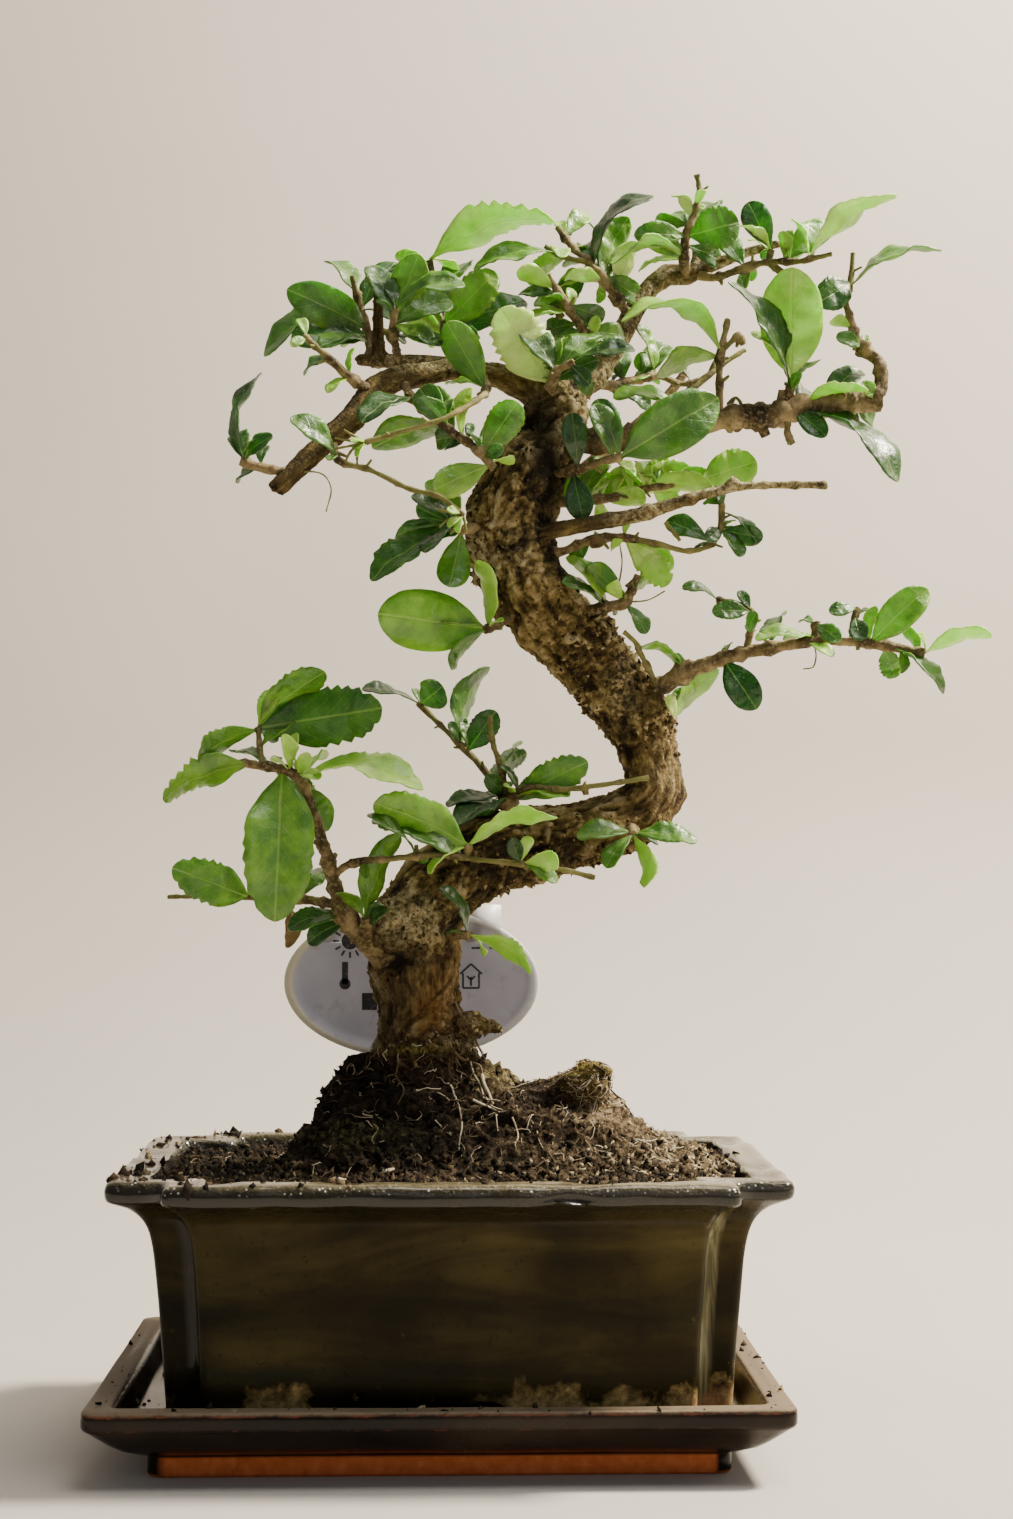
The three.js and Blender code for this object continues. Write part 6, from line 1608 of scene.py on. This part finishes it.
def makePot():
    rows = potUnder + smoothRows(potOutside, 3) + smoothRows(potInside[:6], 2) + potInside[6:]
    loops = [potLoop(*row) for row in rows]
    mesh = skin("glazed_pot", [points for points, marks in loops])
    groove, corner = [], []
    for points, marks in loops:
        for mark in marks:
            groove.append(1.0 if mark % 3 == 1 and mark >= 0 else 0.0)
            corner.append(1.0 if mark % 3 != 1 and mark >= 0 else 0.0)
    for vertex in mesh.vertices:
        ripple = noise.noise(vertex.co * 90 + Vector((3, 1, 7)))
        wave = noise.noise(vertex.co * 22) * potLook["wave"] + ripple * potLook["ripple"]
        rim = min(max((vertex.co.z - 0.076) / 0.003, 0), 1)
        dent = min(noise.noise(vertex.co * 75 + Vector((1, 9, 4))), 0.3)
        wave += dent * potLook["rimWave"] * rim - 0.0002 * rim
        vertex.co += vertex.normal * (wave - potLook["inward"])
    setFloats(mesh, "groove", groove)
    setFloats(mesh, "corner", corner)
    pot = newObject("glazed_pot", mesh)
    mesh.materials.append(potGlaze)
    cutter = bmesh.new()
    for half, turned in ((potLook["archHalfWidth"], False), (potLook["sideArchHalfWidth"], True)):
        profile = [(-half - 1, -3), (-half, 0.2)]
        for i in range(1, 9):
            s = i / 8
            rise = (potLook["archHeight"] - 0.2) * (1 - (1 - s) ** 2)
            profile.append((-half + half * 0.55 * s, 0.2 + rise))
        profile += [(-x, z) for x, z in reversed(profile)]
        ends = []
        for end in (-120, 120):
            turnedTo = [(end, x, z) if turned else (x, end, z) for x, z in profile]
            spots = [Vector((a, b, c + potLook["bottom"])) * mm for a, b, c in turnedTo]
            ends.append([cutter.verts.new(spot) for spot in spots])
        count = len(profile)
        cutter.faces.new(ends[0])
        cutter.faces.new(list(reversed(ends[1])))
        for k in range(count):
            n = (k + 1) % count
            cutter.faces.new((ends[0][n], ends[0][k], ends[1][k], ends[1][n]))
    bmesh.ops.recalc_face_normals(cutter, faces=cutter.faces)
    radius = potLook["drainRadius"] * mm
    for side in (-1, 1):
        place = Matrix.Translation(Vector((side * potLook["drainAcross"], 0, 26.5)) * mm)
        bmesh.ops.create_cone(cutter, cap_ends=True, segments=24, radius1=radius, radius2=radius, depth=0.012,
            matrix=place)
    cutting = newObject("pot_cutter", meshOf(cutter, "pot_cutter"))
    cut = pot.modifiers.new("openings", "BOOLEAN")
    cut.operation, cut.solver, cut.object = "DIFFERENCE", "EXACT", cutting
    settle(pot)
    bpy.data.objects.remove(cutting)
    # crumbs of soil lie on the rim, most of them at the left
    spots, normals = places(pot.data), normalsOf(pot.data)
    flat = (normals[:, 2] > 0.75) * (spots[:, 2] > 0.0835)
    left = numpy.clip((-spots[:, 0] - 0.02) / 0.06, 0.04, 1)
    strewn("rim_crumbs", pot, flat * left, crumbSoil, "soil", rimCrumbs)
    return finishPiece(pot, "pot_glaze", "pot")


def makeTray():
    loops = []
    for part, inset, z in trayRows:
        halfX, halfY = trayLook[part][0] - inset, trayLook[part][1] - inset
        corners = [(halfX, -halfY), (halfX, halfY), (-halfX, halfY), (-halfX, -halfY)]
        corners = [Vector((x + trayLook["middleX"], y, z)) * mm for x, y in corners]
        radius = max(trayLook["round"] - max(inset, 0) * 0.15, 2.5) * mm
        loops.append(roundedLoop(corners, [radius] * 4, [26, 34, 26, 34], 6))
    mesh = skin("drip_tray", [points for points, marks in loops])
    for vertex in mesh.vertices:
        wave = noise.noise(vertex.co * 24 + Vector((5, 5, 5))) * trayLook["wave"] * min(vertex.co.z * 200, 1)
        vertex.co += vertex.normal * (wave - 0.0002 * min(vertex.co.z * 200, 1))
    setFloats(mesh, "corner", [1.0 if mark >= 0 else 0.0 for points, marks in loops for mark in marks])
    tray = newObject("drip_tray", mesh)
    mesh.materials.append(trayGlaze)
    spots, normals = places(mesh), normalsOf(mesh)
    level = (normals[:, 2] > 0.8) * (spots[:, 2] > 0.012)
    strewn("tray_crumbs", tray, level, crumbSoil, "soil", trayCrumbs)
    return finishPiece(tray, "tray_glaze", "saucer")


# glaze


def makeGlazeGroup():
    # brushed glaze in level bands, worn to a second colour at edges, with grit where it is dusty
    colours = {name: ("colour", None) for name in ("Dark", "Middle", "Light", "Worn", "Dusty")}
    tree, given, result = newSurface("brushedGlaze", Place=("vector", None), Wear=("value", 0.0),
        Dust=("value", 0.0), **colours)
    place = given["Place"]
    bands = cloud(stretch(place, (13.0, 13.0, 52.0)), 1.0, 4.0, 0.6, 0.8)
    patches = cloud(place, 26.0, 3.0, 0.5)
    specks = cloud(place, 420.0, 3.0, 0.7)
    share = mulAdd(bands, 0.55, mul(patches, 0.45))
    colour = tint(remap(share, 0.36, 0.5), given["Dark"], given["Middle"])
    colour = tint(remap(share, 0.5, 0.66), colour, given["Light"])
    colour = tint(remap(specks, 0.6, 0.7, 0.0, 0.5), colour, given["Dark"])
    flaky = cloud(place, 170.0, 4.0, 0.65)
    wear = remap(add(mul(given["Wear"], 0.62), flaky), 0.72, 1.0)
    colour = tint(mul(wear, remap(specks, 0.35, 0.6, 0.9, 0.35)), colour, given["Worn"])
    grit = remap(mulAdd(specks, 0.8, mul(given["Dust"], 0.6)), 0.52, 0.92)
    grit = masked(grit, given["Dust"])
    colour = tint(grit, colour, given["Dusty"])
    wire(result, Colour=colour)
    rough = remap(share, 0.35, 0.65, 0.16, 0.3)
    rough = calc("MAXIMUM", rough, mul(grit, 0.85))
    wire(result, Roughness=calc("MAXIMUM", rough, mul(wear, 0.5)))
    height = mulAdd(patches, 0.8, mul(specks, 0.12))
    height = sub(height, mul(wear, 0.25))
    wire(result, Height=mulAdd(grit, 0.3, height))
    return tree


def bell(value, middle, width):
    away = calc("DIVIDE", sub(value, middle), width)
    return calc("POWER", 2.718, mul(mul(away, away), -1.0))


def makePotGlaze():
    made, tree, shader, place = newMaterial("brushed_pot_glaze", (0.1, 0.09, 0.05, 1),
        Specular_IOR_Level=0.06, Coat_Roughness=0.1)
    x, y, height = axesOf(place)
    patch = remap(cloud(place, 30.0, 3.0), 0.44, 0.56)
    foot = mul(remap(height, 0.0305, 0.021), mulAdd(patch, 0.8, 0.2))
    wear = mulAdd(bell(height, 0.0785, 0.0008), 0.3, foot)
    wear = mulAdd(worn(tree, "corner"), 0.16, wear)
    top = remap(height, 0.0812, 0.0846)
    inputs = {"Place": place, "Dark": rgb(14, 12, 5), "Middle": rgb(38, 31, 12), "Light": rgb(66, 58, 29)}
    inputs |= {"Worn": rgb(176, 150, 96), "Dusty": rgb(122, 112, 84), "Wear": wear, "Dust": mul(top, 0.75)}
    surface = useGroup(tree, glazeGroup, inputs)
    rim = remap(height, 0.0715, 0.0775)
    dark = mul(rim, sub(0.8, top))
    colour = tint(dark, surface["Colour"], rgb(30, 27, 17))
    streaks = cloud(stretch(place, (12.0, 12.0, 60.0)), 1.0, 3.0)
    band = masked(bell(height, 0.046, 0.006), mul(streaks, 1.3))
    colour = tint(band, colour, rgb(14, 13, 6))
    # painted light: the glaze colour is darker towards the left and paler towards the right, as the light
    # falls from the right
    thin = remap(x, -0.08, 0.08, 0.8, 1.5)
    thin = packed(thin, thin, thin)
    colour = tint(1.0, colour, thin, "MULTIPLY")
    low = masked(bell(height, 0.029, 0.0022), remap(streaks, 0.4, 0.6))
    colour = tint(mul(low, 0.7), colour, rgb(20, 30, 20))
    # painted highlights: small pale specks along the upper edge of the rim, where the glaze sparkles
    rimGlints = remap(cells(place, 620.0), 0.26, 0.14)
    rimGlints = mul(rimGlints, bell(height, 0.0832, 0.0011))
    rimGlints = mul(rimGlints, remap(cloud(place, 120.0, 2.0), 0.45, 0.55))
    colour = tint(rimGlints, colour, rgb(214, 214, 204))
    # glaze has run down the corner grooves in pale runs on the right, painted lighter there as the light
    # falls from the right; the left groove is painted dark as shade, with painted highlight streaks
    runs = cloud(stretch(place, (300.0, 300.0, 16.0)), 1.0, 3.0, 0.6, 0.4)
    pale = ramp(runs, [(0.36, rgb(52, 50, 24)), (0.5, rgb(104, 98, 52)), (0.64, rgb(164, 158, 118))])
    shadedGroove = ramp(runs, [(0.4, rgb(12, 10, 7)), (0.6, rgb(30, 27, 20)), (0.7, rgb(96, 92, 80))])
    run = tint(remap(x, -0.02, 0.02), shadedGroove, pale)
    near = mul(worn(tree, "groove"), remap(height, 0.078, 0.07))
    colour = tint(mul(near, 0.85), colour, run)
    chip = mul(bell(x, 0.076, 0.008), remap(height, 0.0245, 0.02))
    chip = mul(chip, remap(y, -0.045, -0.058))
    chip = masked(chip, patch)
    colour = tint(chip, colour, rgb(176, 122, 92))
    wire(shader.inputs, Base_Color=colour)
    shine = mulAdd(worn(tree, "groove"), 0.35, mulAdd(rim, 0.75, 0.03))
    wire(shader.inputs, Coat_Weight=shine)
    dull = mul(sub(1.0, rim), 0.2)
    wire(shader.inputs, Roughness=add(surface["Roughness"], dull))
    # a pitted rim breaks its shine into sparks
    pits = mul(cloud(place, 700.0, 3.0, 0.7), mul(rim, 1.4))
    bump(shader, add(surface["Height"], pits), 0.0012, 0.7)
    return made


def makeTrayGlaze():
    made, tree, shader, place = newMaterial("dark_tray_glaze", (0.04, 0.03, 0.025, 1),
        Specular_IOR_Level=0.12, Coat_Weight=0.06, Coat_Roughness=0.14)
    spot = axesOf(place)
    height = spot[2]
    lip = calc("MAXIMUM", bell(height, 0.0209, 0.0006), mul(bell(height, 0.0168, 0.0006), 0.5))
    inputs = {"Place": place, "Dark": rgb(16, 12, 9), "Middle": rgb(32, 25, 19), "Light": rgb(52, 42, 32)}
    inputs |= {"Worn": rgb(118, 66, 44), "Dusty": rgb(122, 108, 88), "Wear": mul(lip, 0.6)}
    inputs |= {"Dust": mulAdd(remap(height, 0.0205, 0.0216), 0.85, 0.1)}
    surface = useGroup(tree, glazeGroup, inputs)
    # the foot is bare clay between its glazed corner posts
    clayNoise = cloud(place, 300.0, 4.0, 0.65)
    clay = ramp(clayNoise, [(0.25, rgb(172, 90, 48)), (0.55, rgb(194, 106, 60)), (0.8, rgb(208, 124, 78))])
    left = remap(spot[0], -0.0842, -0.0815)
    right = remap(spot[0], 0.0772, 0.0758)
    low = remap(height, 0.0062, 0.0054)
    bare = mul(mul(left, right), low)
    under = remap(height, 0.0012, 0.0004)
    bare = calc("MAXIMUM", bare, under)
    wire(shader.inputs, Base_Color=tint(bare, surface["Colour"], clay))
    rough = calc("MAXIMUM", surface["Roughness"], mul(bare, 0.85))
    wire(shader.inputs, Roughness=rough)
    bump(shader, surface["Height"], 0.0007, 0.5)
    return made


# plant label

# lengths in millimetres
labelLook = {"middle": (-12.3, 40, 137), "half": (42, 25), "thick": 1.2, "border": 2.6, "raised": 0.3,
    "segments": 72}
labelLook |= {"tab": (12, 10), "tabAcross": 24, "stakeWidth": 7, "stakeFoot": 58, "ink": 0.16}


def makeLabel():
    mx, my, mz = labelLook["middle"]
    halfX, halfZ = labelLook["half"]
    back, front = my + labelLook["thick"] / 2, my - labelLook["thick"] / 2
    border, raised = labelLook["border"], labelLook["raised"]
    rings = []
    # depth and inset of each ring, from the back round to the front
    rows = [(back, 3), (back, 0.5), (back - 0.25, 0.1), (front + 0.3, 0), (front, 0.3), (front, border - 0.5)]
    rows += [(front + raised, border), (front + raised, border + 3)]
    for depth, inset in rows:
        ring = []
        for k in range(labelLook["segments"]):
            angle = 2 * math.pi * k / labelLook["segments"]
            x, z = mx + (halfX - inset) * math.cos(angle), mz + (halfZ - inset) * math.sin(angle)
            ring.append(Vector((x, depth, z)) * mm)
        rings.append(ring)
    plate = newObject("label_plate", skin("label_plate", rings))
    parts = [plate]

    def bar(x0, x1, z0, z1, y0, y1, bevel):
        work = bmesh.new()
        place = Matrix.Translation(Vector(((x0 + x1) / 2, (y0 + y1) / 2, (z0 + z1) / 2)) * mm)
        size = Matrix.Diagonal(Vector((x1 - x0, y1 - y0, z1 - z0, 1000)) * mm)
        bmesh.ops.create_cube(work, size=1, matrix=place @ size)
        bmesh.ops.bevel(work, geom=work.edges[:], offset=bevel * mm, segments=2, affect="EDGES")
        parts.append(newObject("label_bar", meshOf(work, "label_bar")))

    tabX, tabZ = labelLook["tab"]
    for side in (-1, 1):
        centre = mx + side * labelLook["tabAcross"] * 0.98
        low = mz + 0.82 * halfZ - tabZ * 0.35
        bar(centre - tabX / 2, centre + tabX / 2, low - 4, low + tabZ * 0.85, front + 0.15, back - 0.1, 0.25)
    stake = labelLook["stakeWidth"] / 2
    bar(mx - stake, mx + stake, labelLook["stakeFoot"], mz - halfZ + 3, front + 0.2, back - 0.1, 0.25)
    label = joined("oval_label", parts)
    label.data.materials.append(labelPlastic)
    inkPieces = []

    def shape(points):
        # a thin raised picture drawn as u, v points on the label's face
        flat = [sight(u, v, front) for u, v in points]
        depths = [(front + raised + 0.1) * mm, (front + raised - labelLook["ink"]) * mm]
        rings = [[Vector((p.x, y, p.z)) for p in flat] for y in depths]
        inkPieces.append(newObject("label_picture", skin("label_picture", rings)))

    def disc(u, v, radius, count=16):
        shape([(u + radius * math.cos(2 * math.pi * k / count),
            v + radius * math.sin(2 * math.pi * k / count)) for k in range(count)])

    def stroke(u0, v0, u1, v1, width):
        du, dv = u1 - u0, v1 - v0
        size = math.hypot(du, dv)
        nu, nv = -dv / size * width / 2, du / size * width / 2
        shape([(u0 + nu, v0 + nv), (u1 + nu, v1 + nv), (u1 - nu, v1 - nv), (u0 - nu, v0 - nv)])

    # sun, thermometer and block
    disc(350, 941, 8.5)
    for k in range(12):
        du, dv = math.cos(math.pi * k / 6), math.sin(math.pi * k / 6)
        stroke(350 + 11 * du, 941 + 11 * dv, 350 + 17 * du, 941 + 17 * dv, 2)
    disc(345, 984, 5.6)
    stroke(345, 962, 345, 984, 6)
    stroke(362, 1001.5, 377, 1001.5, 17)
    # the house, and the plant in it
    house = [(460, 974, 471, 964), (471, 964, 482, 974), (463, 973, 463, 988), (479, 973, 479, 988)]
    house += [(463, 988, 479, 988), (471, 986, 471, 977), (471, 980, 467, 976), (471, 980, 475, 976)]
    for line in house:
        stroke(*line, 1.8)
    for u in (476, 494):
        stroke(u - 4.5, 948, u + 4.5, 948, 2)
    pictures = joined("label_pictures", inkPieces)
    pictures.data.materials.append(labelInk)
    for polygon in pictures.data.polygons:
        polygon.use_smooth = False
    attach(pictures, "root")
    return finishPiece(label, "label_plastic", "plant_label")


def makeLabelPlastic():
    made, _, shader, place = newMaterial("milky_plastic", (0.6, 0.6, 0.64, 1), Subsurface_Weight=0.4,
        Subsurface_Scale=0.002, Subsurface_Radius=(0.9, 0.9, 1.0))
    spot = axesOf(place)
    mx, _, mz = labelLook["middle"]
    acrossShare = calc("DIVIDE", sub(spot[0], mx * mm), labelLook["half"][0] * mm)
    upShare = calc("DIVIDE", sub(spot[2], mz * mm), labelLook["half"][1] * mm)
    out = add(mul(acrossShare, acrossShare), mul(upShare, upShare))
    edge = remap(out, 0.84, 0.9)
    patch = cloud(place, 40.0, 3.0)
    inner = tint(remap(patch, 0.35, 0.65), rgb(178, 178, 190), rgb(196, 196, 204))
    rim = tint(remap(spot[0], -0.05, 0.0), rgb(214, 208, 186), rgb(222, 222, 222))
    smudge = remap(cloud(place, 260.0, 3.0), 0.6, 0.72, 0.0, 0.3)
    colour = tint(smudge, tint(edge, inner, rim), rgb(140, 132, 120))
    wire(shader.inputs, Base_Color=colour, Roughness=remap(patch, 0.3, 0.7, 0.3, 0.48))
    bump(shader, cloud(place, 90.0, 3.0), 0.0006, 0.4)
    return made


def makeLabelInk():
    made, _, shader, place = newMaterial("label_ink", (0.03, 0.03, 0.04, 1), Roughness=0.5)
    rubbed = remap(cloud(place, 900.0, 3.0), 0.55, 0.7, 0.0, 0.4)
    colour = tint(rubbed, rgb(38, 38, 44), rgb(120, 120, 128))
    wire(shader.inputs, Base_Color=colour)
    return made


glazeGroup = makeGlazeGroup()
potGlaze, trayGlaze = makePotGlaze(), makeTrayGlaze()
labelPlastic, labelInk = makeLabelPlastic(), makeLabelInk()
makePot()
makeTray()
makeLabel()
print("pot, tray and label made")
